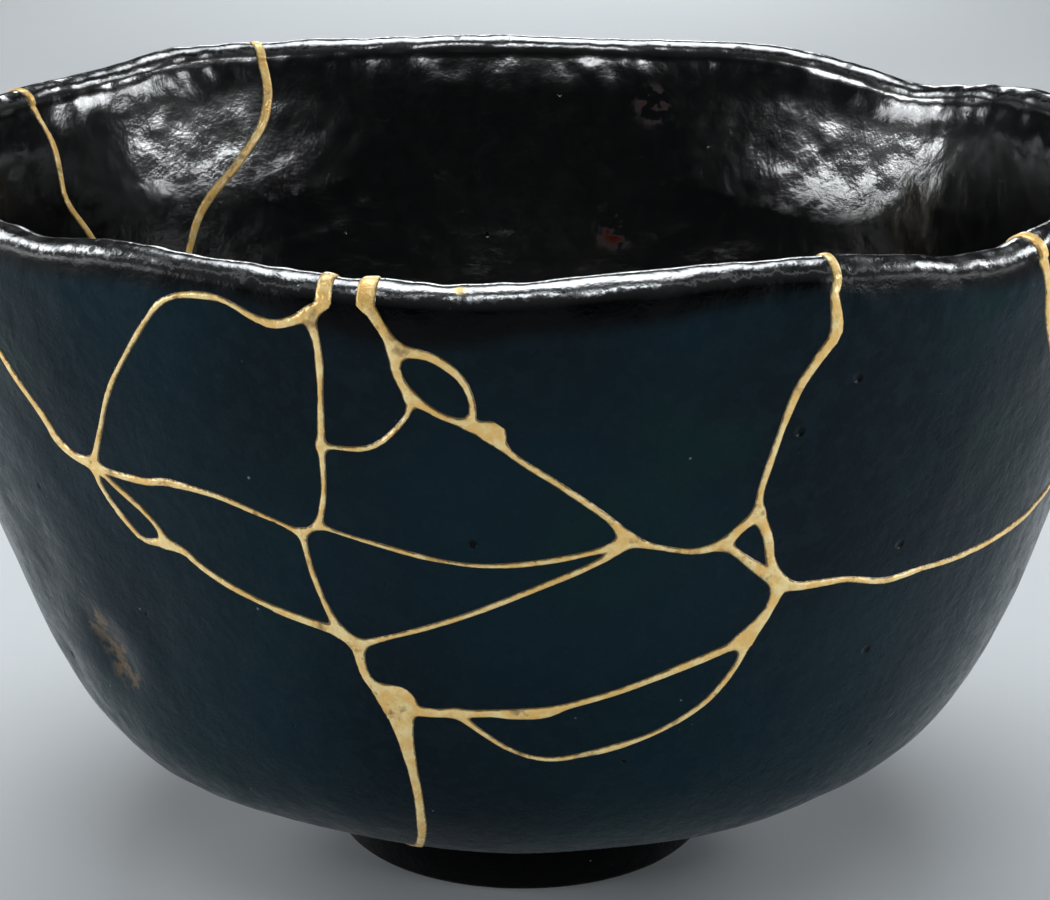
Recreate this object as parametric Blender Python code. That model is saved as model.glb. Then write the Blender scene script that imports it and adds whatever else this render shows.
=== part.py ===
"""Hand-formed tea bowl on a ring foot, broken into sherds and mended with gold lacquer.

Units are metres, +Z is up, and the origin is the centre of the foot's underside.
Azimuth 0 is the front (-Y) and grows towards +X, in degrees.
A mark's height is a percentage of the way up the outside, from the foot to the lip's top.

The wall is worked out on a flat disc: its centre is the middle of the base, its border is
the rim, and the map from disc to bowl keeps angles. The breaks are drawn on the disc, and
each region between them is lifted to the outer and the inner surface as one closed solid.
"""
import math

import bmesh
import bpy
import numpy as np
from mathutils import Vector
from mathutils.geometry import delaunay_2d_cdt

# Overall form
BOWL_HEIGHT = 0.0709
RIM_RADIUS = 0.0600
WALL_LEAN = math.radians(12.2)
WALL_FULLNESS = 1.07
UNDERSIDE_SLOPE = math.radians(31.3)
UNDERSIDE_FULLNESS = 0.643

# Wall and lip
LIP_THICKNESS = 0.0045
LIP_ROUNDING = 0.0018
FOOT_WALL_THICKNESS = 0.0080
BASE_THICKNESS = 0.0059

# Ring foot
FOOT_RADIUS = 0.0187
FOOT_HEIGHT = 0.0051
FOOT_TAPER = 0.0009
FOOT_RING_WIDTH = 0.0037
FOOT_CHAMFER = 0.0005
FOOT_RECESS = 0.0030
FOOT_RECESS_SLOPE = 0.0015

# Seams
JOINT_GAP = 0.0003
SEAM_RAISE = 0.0002
SEAM_FILLET = 0.0002

# The rim rises and dips by these millimetres at these azimuths
RIM_RISE = [
    (-178, 0.4), (-150, 0.8), (-139, 1.2), (-128, 0.2), (-110, 0.1), (-80, 0.2),
    (-58, 0.1), (-45, -0.5), (-33, 0.45), (-16, -0.25), (-3, -0.45), (7, 0.25),
    (20, 0.85), (30, 0.1), (40, -1.1), (49, -0.3), (75, 0.3), (98, 0.5), (112, 0.4),
    (121, -0.5), (132, -1.8), (142, -0.45), (151, 0.45), (166, 0.25),
]

# The plan is a little out of round: lobes, swell in millimetres, azimuth of a crest
PLAN_WAVES = [(2, 0.35, 60), (3, 0.30, 20), (5, 0.15, 0)]

# Hollows pressed into the outside: azimuth, height, radius and depth in millimetres.
# Where the depth is below nothing, the wall swells instead.
HOLLOWS = [
    (-48.0, 50.5, 3.4, 0.9),
    (-62.0, 44.0, 3.0, 0.4),
    (-56.0, 60.0, 6.0, 0.4),
    (-40.0, 57.0, 5.0, 0.3),
    (-58.0, 24.0, 14.0, -0.5),
]

# Mesh fineness
GRID_STEP = 0.0064
RIM_STEPS = 92
FOOT_SIDES = 36
LIP_STEPS = 5
OUTLINE_STEP = 0.0004
OUTLINE_TOLERANCE = 0.00007
WALL_SAMPLES = 240
GRID_CLEARANCE = 0.4 * GRID_STEP
SHARP_ANGLE = math.radians(35)

# How the form changes down the wall, as powers of the share
THICKENING_POWER = 1.3
LEVEL_LIP_POWER = 2
FLOOR_DISH_POWER = 3
RIM_RISE_POWER = 4

# Search for a sherd's edge beside its breaks
EDGE_REACH = 0.0040
EDGE_PROBE = 0.0001
EDGE_SPACING = 0.4 * OUTLINE_STEP
EDGE_ORDER_SPREAD = 6
EDGE_RIM_CLEARANCE = 0.0004
CORNER_REACH = 5.0
CORNER_PROBE = 0.02
BORDER_SAMPLES = 200
MITRE_LIMIT = 0.6
DISTANCE_STRIDE = 3

# Breaks: azimuth, height and width of the gold in millimetres
BREAKS = {
    "rim_to_arch": [(-15.0, 100, 1.2), (-16.3, 96.4, 1.1)],
    "arch": [(-16.3, 96.4, 1.0), (-18.8, 95.0, 0.8), (-20.8, 95.2, 0.8), (-24, 96.6, 0.65),
             (-28, 96, 0.6), (-31, 93, 0.65), (-36, 85.6, 0.65), (-39, 79.5, 0.6),
             (-41, 75.3, 0.9)],
    "arch_right": [(-16.3, 96.4, 1.1), (-15.7, 93, 0.8), (-16, 87, 0.65), (-16.3, 82.3, 0.75)],
    "mid_left": [(-16.3, 82.3, 0.75), (-16.6, 77, 0.5), (-17.4, 73.2, 0.7)],
    "left_step": [(-17.4, 73.2, 0.7), (-19.1, 72, 0.75)],
    "rim_to_loop": [(-12.0, 100, 1.1), (-11.5, 97.6, 1.1), (-10.3, 95.2, 1.0), (-9.5, 93.5, 1.3)],
    "loop_left": [(-9.5, 93.5, 1.1), (-9.6, 91.2, 0.75), (-8.6, 88.5, 0.9)],
    "loop_low": [(-8.6, 88.5, 0.9), (-6.4, 86.8, 0.7), (-4.1, 85.9, 0.9)],
    "loop_right": [(-9.5, 93.5, 1.1), (-6.9, 93.0, 0.85), (-4.7, 90.9, 0.75), (-3.8, 87.9, 0.65),
                   (-4.1, 85.9, 0.8)],
    "loop_blob": [(-4.1, 85.9, 1.0), (-2.3, 85.1, 2.0)],
    "middle_right": [(-2.3, 85.1, 1.8), (-1, 82.8, 0.7), (3.2, 78.8, 0.6), (7, 75, 0.6),
                     (8.8, 72.4, 1.1)],
    "loop_branch": [(-8.6, 88.5, 0.65), (-9, 86.5, 0.55), (-12, 82.8, 0.5), (-16.3, 82.3, 0.65)],
    "lens_top": [(8.8, 72.4, 1.1), (6, 71.2, 0.65), (0, 70, 0.6), (-5.5, 70, 0.45),
                 (-12, 71.6, 0.4), (-17.4, 73.2, 0.6)],
    "lens_bottom": [(8.8, 72.4, 1.1), (7, 70.4, 0.75), (1, 67, 0.65), (-5, 63.8, 0.6),
                    (-11.5, 60.8, 0.6), (-15.2, 59.2, 0.85)],
    "to_triangle": [(8.8, 72.4, 1.1), (11.5, 71.3, 0.65), (14.5, 70.5, 0.7), (17.3, 70.9, 1.0)],
    "triangle_left": [(17.3, 70.9, 1.1), (18.5, 72.5, 0.9), (20, 74, 1.1)],
    "triangle_low": [(17.3, 70.9, 0.9), (19.6, 68.7, 0.9), (23.2, 65.4, 1.2)],
    "triangle_right": [(20, 74, 1.0), (21.2, 71.2, 0.9), (21.9, 68.4, 0.9), (23.2, 65.4, 1.2)],
    "right_rim": [(24.3, 100, 1.1), (24, 97, 0.9), (24.5, 93, 1.3), (23.4, 90.5, 1.1),
                  (21.8, 86.7, 0.8), (20.5, 80, 0.75), (19.9, 76.5, 0.8), (20, 74, 0.8)],
    "right": [(23.2, 65.4, 1.2), (25, 64.8, 0.9), (30, 64.7, 0.7), (35, 63.4, 0.8),
              (40, 63.6, 0.75), (47, 63.3, 0.8), (56, 64.2, 0.8), (63, 66, 0.8), (69, 68, 0.8)],
    "far_right_rim": [(45.9, 100, 1.3), (46.7, 96, 1.1), (49, 89.5, 0.9), (54, 82, 0.8),
                      (60, 75, 0.8), (69, 68, 0.8)],
    "to_crescent": [(23.2, 65.4, 1.3), (22.6, 62.5, 1.0), (20.6, 59, 2.0)],
    "crescent_top": [(20.6, 59, 1.6), (19, 58.3, 0.9), (14, 56.2, 0.8), (7.4, 53.5, 0.8),
                     (4.3, 52.5, 0.9), (2, 51.7, 1.4), (-1, 51.5, 1.2), (-3, 51.6, 0.9),
                     (-6.3, 51.4, 0.9)],
    "crescent_left": [(-6.3, 51.4, 0.9), (-10, 51.4, 1.1), (-12.0, 52.6, 2.4)],
    "crescent_low": [(20.6, 59, 1.2), (20.5, 56.5, 0.65), (18, 52, 0.7), (13.5, 48.4, 0.7),
                     (7, 46, 0.7), (2.4, 45.2, 0.7), (-1, 46.4, 0.65), (-4, 49, 0.65),
                     (-6.3, 51.4, 0.7)],
    "left_rim": [(-41, 75.3, 1.1), (-43.7, 75.8, 0.9), (-45.7, 77.2, 1.1), (-46.7, 79.5, 1.0),
                 (-50, 84, 0.85), (-54, 90, 0.8), (-57, 95, 0.9), (-58.5, 100, 1.1)],
    "left_lens_top": [(-41, 75.3, 1.1), (-39.5, 74.9, 0.75), (-35, 74.5, 0.9), (-32, 75, 0.9),
                      (-27, 74.6, 0.7), (-22, 73.1, 0.55), (-19.1, 72, 0.8)],
    "twin_left": [(-41, 75.3, 1.0), (-40.9, 73.5, 0.8), (-39.9, 71, 0.7), (-38.3, 68.6, 0.7),
                  (-36.9, 67.2, 0.65), (-34.2, 67.4, 1.0)],
    "twin_right": [(-41, 75.3, 1.0), (-39.4, 73.8, 0.7), (-37.5, 72.1, 0.7), (-35.8, 70.5, 0.7),
                   (-34.8, 69.2, 0.7), (-34.2, 67.4, 1.0)],
    "left_lens_low": [(-34.2, 67.4, 1.2), (-32, 66.8, 0.9), (-30, 65.3, 0.75), (-24, 62.6, 0.7),
                      (-19.5, 61.3, 0.85), (-16.8, 60.6, 1.1)],
    "lens_left": [(-19.1, 72, 0.8), (-18.7, 68, 0.6), (-18, 64.5, 0.5), (-16.8, 60.6, 1.0)],
    "low_step": [(-16.8, 60.6, 1.1), (-15.2, 59.2, 1.3)],
    "to_blob": [(-15.2, 59.2, 1.1), (-15, 56.5, 0.85), (-14.3, 54.6, 0.9), (-12.0, 52.6, 2.8)],
    "to_foot": [(-12.0, 52.6, 3.3), (-11.8, 50, 2.3), (-11.6, 47, 1.5), (-11.3, 43, 1.0),
                (-11.2, 38, 1.0), (-12, 31, 0.8), (-14.8, 23, 1.0)],
    "underside": [(-14.8, 23, 1.0), (-20, 18.5, 0.9), (-35, 15, 0.8), (-60, 15, 0.8),
                  (-85, 20, 0.8), (-105, 30, 0.8), (-120, 45, 0.8), (-128, 61, 0.9)],
    "back_left_front": [(-114.8, 100, 1.0), (-115.8, 92, 1.0), (-115.3, 86, 1.0),
                        (-117.7, 80.5, 1.0), (-123, 70, 0.9), (-128, 61, 0.9)],
    "back_left_back": [(-148.4, 100, 1.4), (-148.4, 94, 1.4), (-147, 89.5, 1.2),
                       (-143, 84.8, 1.1), (-137, 79.8, 1.1), (-133.7, 75, 1.1),
                       (-130.5, 68, 1.0), (-128, 61, 0.9)],
}

# Each sherd: the breaks around it, anticlockwise from above, with a minus where one runs
# backwards. A sherd with a piece of the rim starts where its rim ends.
SHERDS = {
    "body_sherd_with_foot": [
        "back_left_back", "-underside", "-to_foot", "-crescent_left", "-crescent_low",
        "-to_crescent", "right", "-far_right_rim"],
    "lower_left_sherd": [
        "-left_rim", "twin_left", "left_lens_low", "low_step", "to_blob", "to_foot",
        "underside", "-back_left_front"],
    "left_rim_sherd": ["rim_to_arch", "arch", "left_rim"],
    "back_left_rim_sherd": ["back_left_front", "-back_left_back"],
    "arched_sherd": ["arch_right", "mid_left", "left_step", "-left_lens_top", "-arch"],
    "narrow_rim_sherd": ["rim_to_loop", "loop_left", "loop_branch", "-arch_right",
                         "-rim_to_arch"],
    "front_rim_sherd": ["right_rim", "-triangle_left", "-to_triangle", "-middle_right",
                        "-loop_blob", "-loop_right", "-rim_to_loop"],
    "right_rim_sherd": ["far_right_rim", "-right", "-triangle_right", "-right_rim"],
    "oval_chip": ["loop_right", "-loop_low", "-loop_left"],
    "triangle_chip": ["triangle_right", "-triangle_low", "triangle_left"],
    "sliver_chip": ["twin_right", "-twin_left"],
    "middle_sherd": ["loop_low", "loop_blob", "middle_right", "lens_top", "-mid_left",
                     "-loop_branch"],
    "upper_lens_sherd": ["-lens_top", "lens_bottom", "-low_step", "-lens_left", "-left_step"],
    "left_lens_sherd": ["left_lens_top", "lens_left", "-left_lens_low", "-twin_right"],
    "centre_sherd": ["-lens_bottom", "to_triangle", "triangle_low", "to_crescent",
                     "crescent_top", "crescent_left", "-to_blob"],
    "crescent_sherd": ["-crescent_top", "crescent_low"],
}
GOLD_NAME = "gold_lacquer_seams"

# Colours, linear
GLAZE_COLOUR = (0.007, 0.016, 0.022, 1.0)
GLAZE_ROUGHNESS = 0.28
GOLD_COLOUR = (0.58, 0.34, 0.095, 1.0)
GOLD_ROUGHNESS = 0.42

MM = 0.001


def lerp(a, b, share):
    return a + (b - a) * share


def wall_curve(count):
    """Outer profile of the wall from the foot's corner to the height of the lip's top."""
    start = np.array([FOOT_RADIUS + FOOT_TAPER, FOOT_HEIGHT])
    end = np.array([RIM_RADIUS, BOWL_HEIGHT])
    reach_out = UNDERSIDE_FULLNESS * (end[0] - start[0])
    reach_up = WALL_FULLNESS * (end[1] - start[1])
    near_foot = start + reach_out * np.array([math.cos(UNDERSIDE_SLOPE),
                                              math.sin(UNDERSIDE_SLOPE)])
    near_rim = end - reach_up * np.array([math.sin(WALL_LEAN), math.cos(WALL_LEAN)])
    t = np.linspace(0.0, 1.0, count)[:, None]
    return ((1 - t) ** 3 * start + 3 * (1 - t) ** 2 * t * near_foot
            + 3 * (1 - t) * t ** 2 * near_rim + t ** 3 * end)


def cut_below_lip(wall):
    """The wall's profile up to the height where the lip starts."""
    top = BOWL_HEIGHT - LIP_ROUNDING
    kept = wall[wall[:, 1] < top]
    return np.vstack([kept, [np.interp(top, wall[:, 1], wall[:, 0]), top]])


def foot_curve():
    """Outer profile from the middle of the underside to the foot's corner."""
    bearing_inner = FOOT_RADIUS - FOOT_RING_WIDTH
    return np.array([
        (bearing_inner - FOOT_RECESS_SLOPE, FOOT_RECESS),
        (bearing_inner, 0.0),
        (FOOT_RADIUS - FOOT_CHAMFER, 0.0),
        (FOOT_RADIUS, FOOT_CHAMFER),
    ])


def cumulative_length(points):
    steps = np.linalg.norm(np.diff(points, axis=0), axis=1)
    return np.concatenate([[0.0], np.cumsum(steps)])


class Profile:
    """Outer and inner profile, both read by the radius on the disc."""

    def __init__(self):
        whole = wall_curve(WALL_SAMPLES)
        wall = cut_below_lip(whole)
        foot = foot_curve()
        length = cumulative_length(wall)
        self.wall_length = length[-1]
        self.whole_length = cumulative_length(whole)[-1]
        outer = np.vstack([foot, wall])
        steps = np.linalg.norm(np.diff(outer, axis=0), axis=1)
        mean_radius = (outer[1:, 0] + outer[:-1, 0]) / 2
        from_rim = np.cumsum((steps / mean_radius)[::-1])[::-1]
        disc = RIM_RADIUS * np.exp(-np.concatenate([from_rim, [0.0]]))
        self.disc = np.concatenate([[0.0], disc])
        self.outer_r = np.concatenate([[0.0], outer[:, 0]])
        self.outer_z = np.concatenate([[FOOT_RECESS], outer[:, 1]])
        self.share = np.concatenate([np.zeros(len(foot) + 1), length / length[-1]])
        self.corner = len(foot) + 1
        self.corner_disc = self.disc[self.corner]
        self.rim_disc = self.disc[-1]
        self._set_normals(wall)
        self._set_inner(wall)

    def _set_normals(self, wall):
        slope = np.gradient(wall, axis=0)
        slope /= np.linalg.norm(slope, axis=1)[:, None]
        count = self.corner
        self.normal_r = np.concatenate([np.zeros(count), slope[:, 1]])
        self.normal_z = np.concatenate([-np.ones(count), -slope[:, 0]])

    def _set_inner(self, wall):
        share = self.share[self.corner:]
        thickness = lerp(LIP_THICKNESS, FOOT_WALL_THICKNESS, (1 - share) ** THICKENING_POWER)
        across_r = self.normal_r[self.corner:]
        across_z = self.normal_z[self.corner:] * (1 - share ** LEVEL_LIP_POWER)
        size = np.hypot(across_r, across_z)
        inner_r = wall[:, 0] - thickness * across_r / size
        inner_z = wall[:, 1] - thickness * across_z / size
        floor = FOOT_RECESS + BASE_THICKNESS
        inward = self.disc[:self.corner] / self.corner_disc
        self.inner_r = np.concatenate([inner_r[0] * inward, inner_r])
        dish = lerp(floor, inner_z[0], inward ** FLOOR_DISH_POWER)
        self.inner_z = np.concatenate([dish, inner_z])

    def read(self, name, disc):
        return np.interp(disc, self.disc, getattr(self, name))

    def scale(self, disc):
        """Size on the disc of one unit of length on the bowl's outside."""
        real = self.read("outer_r", np.maximum(disc, self.disc[1]))
        return np.maximum(disc, self.disc[1]) / real

    def disc_at_share(self, share):
        return np.interp(share, self.share[self.corner:], self.disc[self.corner:])

    def disc_at_mark(self, percent):
        """Disc radius at a mark's height, which stays below the lip."""
        share = np.asarray(percent) / 100 * self.whole_length / self.wall_length
        return self.disc_at_share(np.minimum(share, 1.0))


def periodic_value(points, azimuth):
    """Smooth closed curve through (azimuth, value) points."""
    known = np.array(sorted(points), dtype=float)
    angles = np.concatenate([known[-2:, 0] - 360, known[:, 0], known[:2, 0] + 360])
    values = np.concatenate([known[-2:, 1], known[:, 1], known[:2, 1]])
    turned = (np.asarray(azimuth, dtype=float) - angles[1]) % 360 + angles[1]
    index = np.clip(np.searchsorted(angles, turned, side="right") - 1, 1, len(angles) - 3)
    width = angles[index + 1] - angles[index]
    t = (turned - angles[index]) / width
    slope = (values[2:] - values[:-2]) / (angles[2:] - angles[:-2])
    first = slope[index - 1] * width
    last = slope[index] * width
    return ((2 * t ** 3 - 3 * t ** 2 + 1) * values[index] + (t ** 3 - 2 * t ** 2 + t) * first
            + (3 * t ** 2 - 2 * t ** 3) * values[index + 1] + (t ** 3 - t ** 2) * last)


def to_disc(azimuth, radius):
    angle = np.radians(azimuth)
    return np.stack([radius * np.sin(angle), -radius * np.cos(angle)], axis=-1)


def azimuth_of(points):
    return np.degrees(np.arctan2(points[..., 0], -points[..., 1]))


class Bowl:
    """Surfaces of the hand-formed bowl above a point of the disc."""

    def __init__(self):
        self.profile = Profile()
        self.hollows = []
        hollows = []
        for azimuth, percent, radius, depth in HOLLOWS:
            disc = self.profile.disc_at_mark(percent)
            centre = self.surface(to_disc(np.array([azimuth]), disc), "outer")[0]
            hollows.append((centre, radius * MM, depth * MM))
        self.hollows = hollows

    def formed(self, radius, height, azimuth, share):
        """Turned point with the hand-formed plan and rim."""
        swell = sum(size * MM * np.cos(np.radians(lobes * (azimuth - crest)))
                    for lobes, size, crest in PLAN_WAVES)
        radius = radius + share * swell
        height = height + share ** RIM_RISE_POWER * periodic_value(RIM_RISE, azimuth) * MM
        angle = np.radians(azimuth)
        return np.stack([radius * np.sin(angle), -radius * np.cos(angle), height], axis=-1)

    def surface(self, points, side, raised=0.0):
        """Outer or inner surface above disc points, raised off the wall by a distance."""
        profile = self.profile
        disc = np.hypot(points[..., 0], points[..., 1])
        azimuth = azimuth_of(points)
        share = profile.read("share", disc)
        out = 1.0 if side == "outer" else -1.0
        radius = profile.read(side + "_r", disc) + out * raised * profile.read("normal_r", disc)
        height = profile.read(side + "_z", disc) + out * raised * profile.read("normal_z", disc)
        placed = self.formed(radius, height, azimuth, share)
        if side == "outer":
            placed = self.pressed(placed, azimuth)
        return placed

    def pressed(self, placed, azimuth):
        """Outer surface with the pressed hollows."""
        angle = np.radians(azimuth)
        inward = np.stack([-np.sin(angle), np.cos(angle), np.zeros_like(angle)], axis=-1)
        for centre, radius, depth in self.hollows:
            distance = np.linalg.norm(placed - centre, axis=-1)
            placed = placed + inward * (depth * np.exp(-(distance / radius) ** 2))[..., None]
        return placed

    def lip(self, outer, inner, raised=0.0):
        """Points over the lip between an outer and an inner point of the rim."""
        turn = np.linspace(0.0, math.pi, LIP_STEPS + 1)[1:-1]
        middle = (outer + inner) / 2
        half = (outer - inner) / 2
        up = np.array([0.0, 0.0, LIP_ROUNDING + raised])
        return [middle + half * math.cos(a) + up * math.sin(a) for a in turn]


class Break:
    """Centre line of one break on the disc, with the gold's width along it."""

    def __init__(self, profile, waypoints):
        table = np.array(waypoints, dtype=float)
        disc = profile.disc_at_mark(table[:, 1])
        knots = to_disc(table[:, 0], disc)
        self.points, self.width = self._smooth(profile, knots, table[:, 2] * MM)
        self.scale = profile.scale(np.hypot(self.points[:, 0], self.points[:, 1]))

    def _smooth(self, profile, knots, width):
        """Catmull-Rom curve through the waypoints with steps of even length."""
        padded = np.vstack([2 * knots[0] - knots[1], knots, 2 * knots[-1] - knots[-2]])
        points = []
        widths = []
        for i in range(len(knots) - 1):
            p0, p1, p2, p3 = padded[i:i + 4]
            scale = profile.scale(np.hypot(*p1))
            steps = max(2, int(np.linalg.norm(p2 - p1) / scale / OUTLINE_STEP))
            for t in np.arange(steps) / steps:
                points.append(0.5 * (2 * p1 + (p2 - p0) * t
                                     + (2 * p0 - 5 * p1 + 4 * p2 - p3) * t ** 2
                                     + (3 * p1 - p0 - 3 * p2 + p3) * t ** 3))
                widths.append(lerp(width[i], width[i + 1], t))
        points.append(knots[-1])
        widths.append(width[-1])
        return np.array(points), np.array(widths)

    def distances(self, points):
        """Distance on the bowl from each point to the gold's edge, below zero inside it."""
        keep = np.unique(np.append(np.arange(0, len(self.points), DISTANCE_STRIDE),
                                   len(self.points) - 1))
        line = self.points[keep]
        width = self.width[keep]
        scale = self.scale[keep]
        start = line[:-1]
        along = line[1:] - start
        offset = points[:, None, :] - start[None]
        t = np.clip((offset * along).sum(-1) / (along ** 2).sum(-1), 0.0, 1.0)
        gap = np.linalg.norm(offset - t[..., None] * along, axis=-1)
        local_scale = lerp(scale[:-1], scale[1:], t)
        local_width = lerp(width[:-1], width[1:], t)
        return (gap / local_scale - local_width / 2).min(axis=1)


class Seams:
    """All the breaks, and the distance from any point to the gold."""

    def __init__(self, profile):
        self.profile = profile
        self.breaks = {name: Break(profile, rows) for name, rows in BREAKS.items()}

    def distance(self, points):
        """Distance to the gold, rounded off by a fillet where breaks meet."""
        flat = points.reshape(-1, 2)
        each = np.stack([b.distances(flat) for b in self.breaks.values()])
        nearest = each.min(axis=0)
        blend = np.exp(-(each - nearest) / SEAM_FILLET).sum(axis=0)
        return (nearest - SEAM_FILLET * np.log(blend)).reshape(points.shape[:-1])


def inside(points, loop):
    """Which points lie inside a closed loop."""
    x, y = points[:, 0][:, None], points[:, 1][:, None]
    ax, ay = loop[:, 0], loop[:, 1]
    bx, by = np.roll(ax, -1), np.roll(ay, -1)
    crosses = (ay > y) != (by > y)
    rise = np.where(by == ay, 1.0, by - ay)
    at = ax + (y - ay) / rise * (bx - ax)
    return (np.sum(crosses & (x < at), axis=1) % 2) == 1


def rim_angles(start, end):
    """Even azimuths along the rim, strictly between two ends."""
    step = 360.0 / RIM_STEPS
    margin = step / 4
    first = math.ceil((start + margin) / step)
    last = math.floor((end - margin) / step)
    return [k * step for k in range(first, last + 1)]


def simplified(points, placed, tolerance):
    """Indices of an open line's points that keep its shape on the bowl."""
    keep = {0, len(points) - 1}
    stack = [(0, len(points) - 1)]
    while stack:
        a, b = stack.pop()
        if b <= a + 1:
            continue
        chord = placed[b] - placed[a]
        length = float(chord @ chord)
        offset = placed[a + 1:b] - placed[a]
        t = np.clip(offset @ chord / max(length, 1e-18), 0.0, 1.0)
        away = np.linalg.norm(offset - t[:, None] * chord, axis=1)
        worst = int(away.argmax())
        if away[worst] > tolerance:
            middle = a + 1 + worst
            keep.add(middle)
            stack += [(a, middle), (middle, b)]
    return sorted(keep)


def crossing(line):
    """First pair of a line's segments that cross with the fewest points between them."""
    start, end = line[:-1], line[1:]
    along = end - start

    def side(points):
        offset = points[None] - start[:, None]
        return along[:, None, 0] * offset[..., 1] - along[:, None, 1] * offset[..., 0]

    apart = side(start) * side(end) < 0
    pairs = np.argwhere(np.triu(apart & apart.T, 2))
    if len(pairs) == 0:
        return None
    return pairs[(pairs[:, 1] - pairs[:, 0]).argmin()]


def without_loops(points, closed):
    """Line without the small knots where it crosses itself."""
    while True:
        line = np.vstack([points, points[:1]]) if closed else points
        found = crossing(line)
        if found is None:
            return points
        first, last = found
        if closed and last - first > len(points) / 2:
            points = points[first + 1:last + 1]
        else:
            points = np.delete(points, np.arange(first + 1, last + 1), axis=0)


class Outline:
    """Broken edge of one sherd on the disc, anticlockwise."""

    def __init__(self, bowl, seams, names):
        self.bowl = bowl
        self.seams = seams
        self.rim = bowl.profile.rim_disc
        centre = self._centre_line(names)
        ends = np.hypot(centre[[0, -1], 0], centre[[0, -1], 1])
        self.has_rim = bool(np.all(ends > self.rim * (1 - 1e-6)))
        if self.has_rim:
            self._rim_outline(centre)
        else:
            self._closed_outline(centre)

    def _centre_line(self, names):
        lines = []
        widths = []
        for name in names:
            found = self.seams.breaks[name.lstrip("-")]
            way = -1 if name.startswith("-") else 1
            skip = 1 if lines else 0
            lines.append(found.points[::way][skip:])
            widths.append(found.width[::way][skip:])
        self.centre_width = np.concatenate(widths)
        return np.vstack(lines)

    def _receded(self, centre, region):
        """Edge points one joint gap away from the gold, on the sherd's side."""
        tangent = np.gradient(centre, axis=0)
        tangent /= np.linalg.norm(tangent, axis=1)[:, None]
        normal = np.stack([-tangent[:, 1], tangent[:, 0]], axis=1)
        scale = self.bowl.profile.scale(np.hypot(centre[:, 0], centre[:, 1]))
        reach = np.arange(0.0, EDGE_REACH, EDGE_PROBE)
        rays = centre[:, None] + normal[:, None] * (reach[None, :] * scale[:, None])[..., None]
        excess = self.seams.distance(rays) - JOINT_GAP
        clear = excess > 0
        first = np.argmax(clear, axis=1)
        rows = np.nonzero(clear.any(axis=1) & (first > 0))[0]
        k = first[rows]
        low, high = excess[rows, k - 1], excess[rows, k]
        t = (-low / (high - low))[:, None]
        edge = lerp(rays[rows, k - 1], rays[rows, k], t)
        kept = inside(edge, region)
        return self._in_order(edge[kept], rows[kept], centre, scale)

    def _in_order(self, edge, rows, centre, scale):
        """Edge points sorted along the centre line, without those from round a corner."""
        start = centre[:-1]
        along = centre[1:] - start
        offset = edge[:, None, :] - start[None]
        t = np.clip((offset * along).sum(-1) / (along ** 2).sum(-1), 0.0, 1.0)
        away = np.linalg.norm(offset - t[..., None] * along, axis=-1)
        away = away / scale[:-1] - self.centre_width[:-1] / 2
        nearest = away.argmin(axis=1)
        place = nearest + t[np.arange(len(edge)), nearest]
        if not self.has_rim:
            count = len(centre) - 1
            place = rows + (place - rows + count / 2) % count - count / 2
        near = np.abs(place - rows) < EDGE_ORDER_SPREAD
        edge, rows, place = edge[near], rows[near], place[near]
        order = np.lexsort((rows, np.round(place, 2)))
        edge = edge[order]
        kept = [edge[0]]
        for point in edge[1:]:
            if np.linalg.norm(point - kept[-1]) > EDGE_SPACING:
                kept.append(point)
        return without_loops(np.array(kept), not self.has_rim)

    def _closed_outline(self, centre):
        loop = centre[:-1]
        edge = self._receded(centre, loop)
        far = int(np.linalg.norm(edge - edge[0], axis=1).argmax())
        first = self._reduced(edge[:far + 1])
        second = self._reduced(np.vstack([edge[far:], edge[:1]]))
        self.points = np.vstack([first[:-1], second[:-1]])
        self.rim_count = 0

    def _reduced(self, edge):
        placed = self.bowl.surface(edge, "outer")
        return edge[simplified(edge, placed, OUTLINE_TOLERANCE)]

    def _corner(self, azimuth, way):
        """Azimuth on the rim where the sherd's edge meets it."""
        steps = azimuth + way * np.arange(0.0, CORNER_REACH, CORNER_PROBE)
        excess = self.seams.distance(to_disc(steps, self.rim)) - JOINT_GAP
        k = int(np.argmax(excess > 0))
        t = -excess[k - 1] / (excess[k] - excess[k - 1])
        return lerp(steps[k - 1], steps[k], t)

    def _rim_outline(self, centre):
        end = float(azimuth_of(centre[0]))
        start = float(azimuth_of(centre[-1]))
        if end < start:
            end += 360.0
        first = self._corner(start, 1)
        last = self._corner(end, -1)
        angles = [first] + rim_angles(first, last) + [last]
        rim = to_disc(np.array(angles), self.rim)
        clearance = EDGE_RIM_CLEARANCE * self.bowl.profile.scale(self.rim)
        border = to_disc(np.linspace(start, end, BORDER_SAMPLES)[1:-1], self.rim + clearance)
        edge = self._receded(centre, np.vstack([centre, border]))
        radius = np.hypot(edge[:, 0], edge[:, 1])
        edge = edge[radius < self.rim - clearance]
        edge = self._reduced(np.vstack([rim[-1:], edge, rim[:1]]))
        self.points = np.vstack([rim, edge[1:-1]])
        self.rim_count = len(rim)


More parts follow.
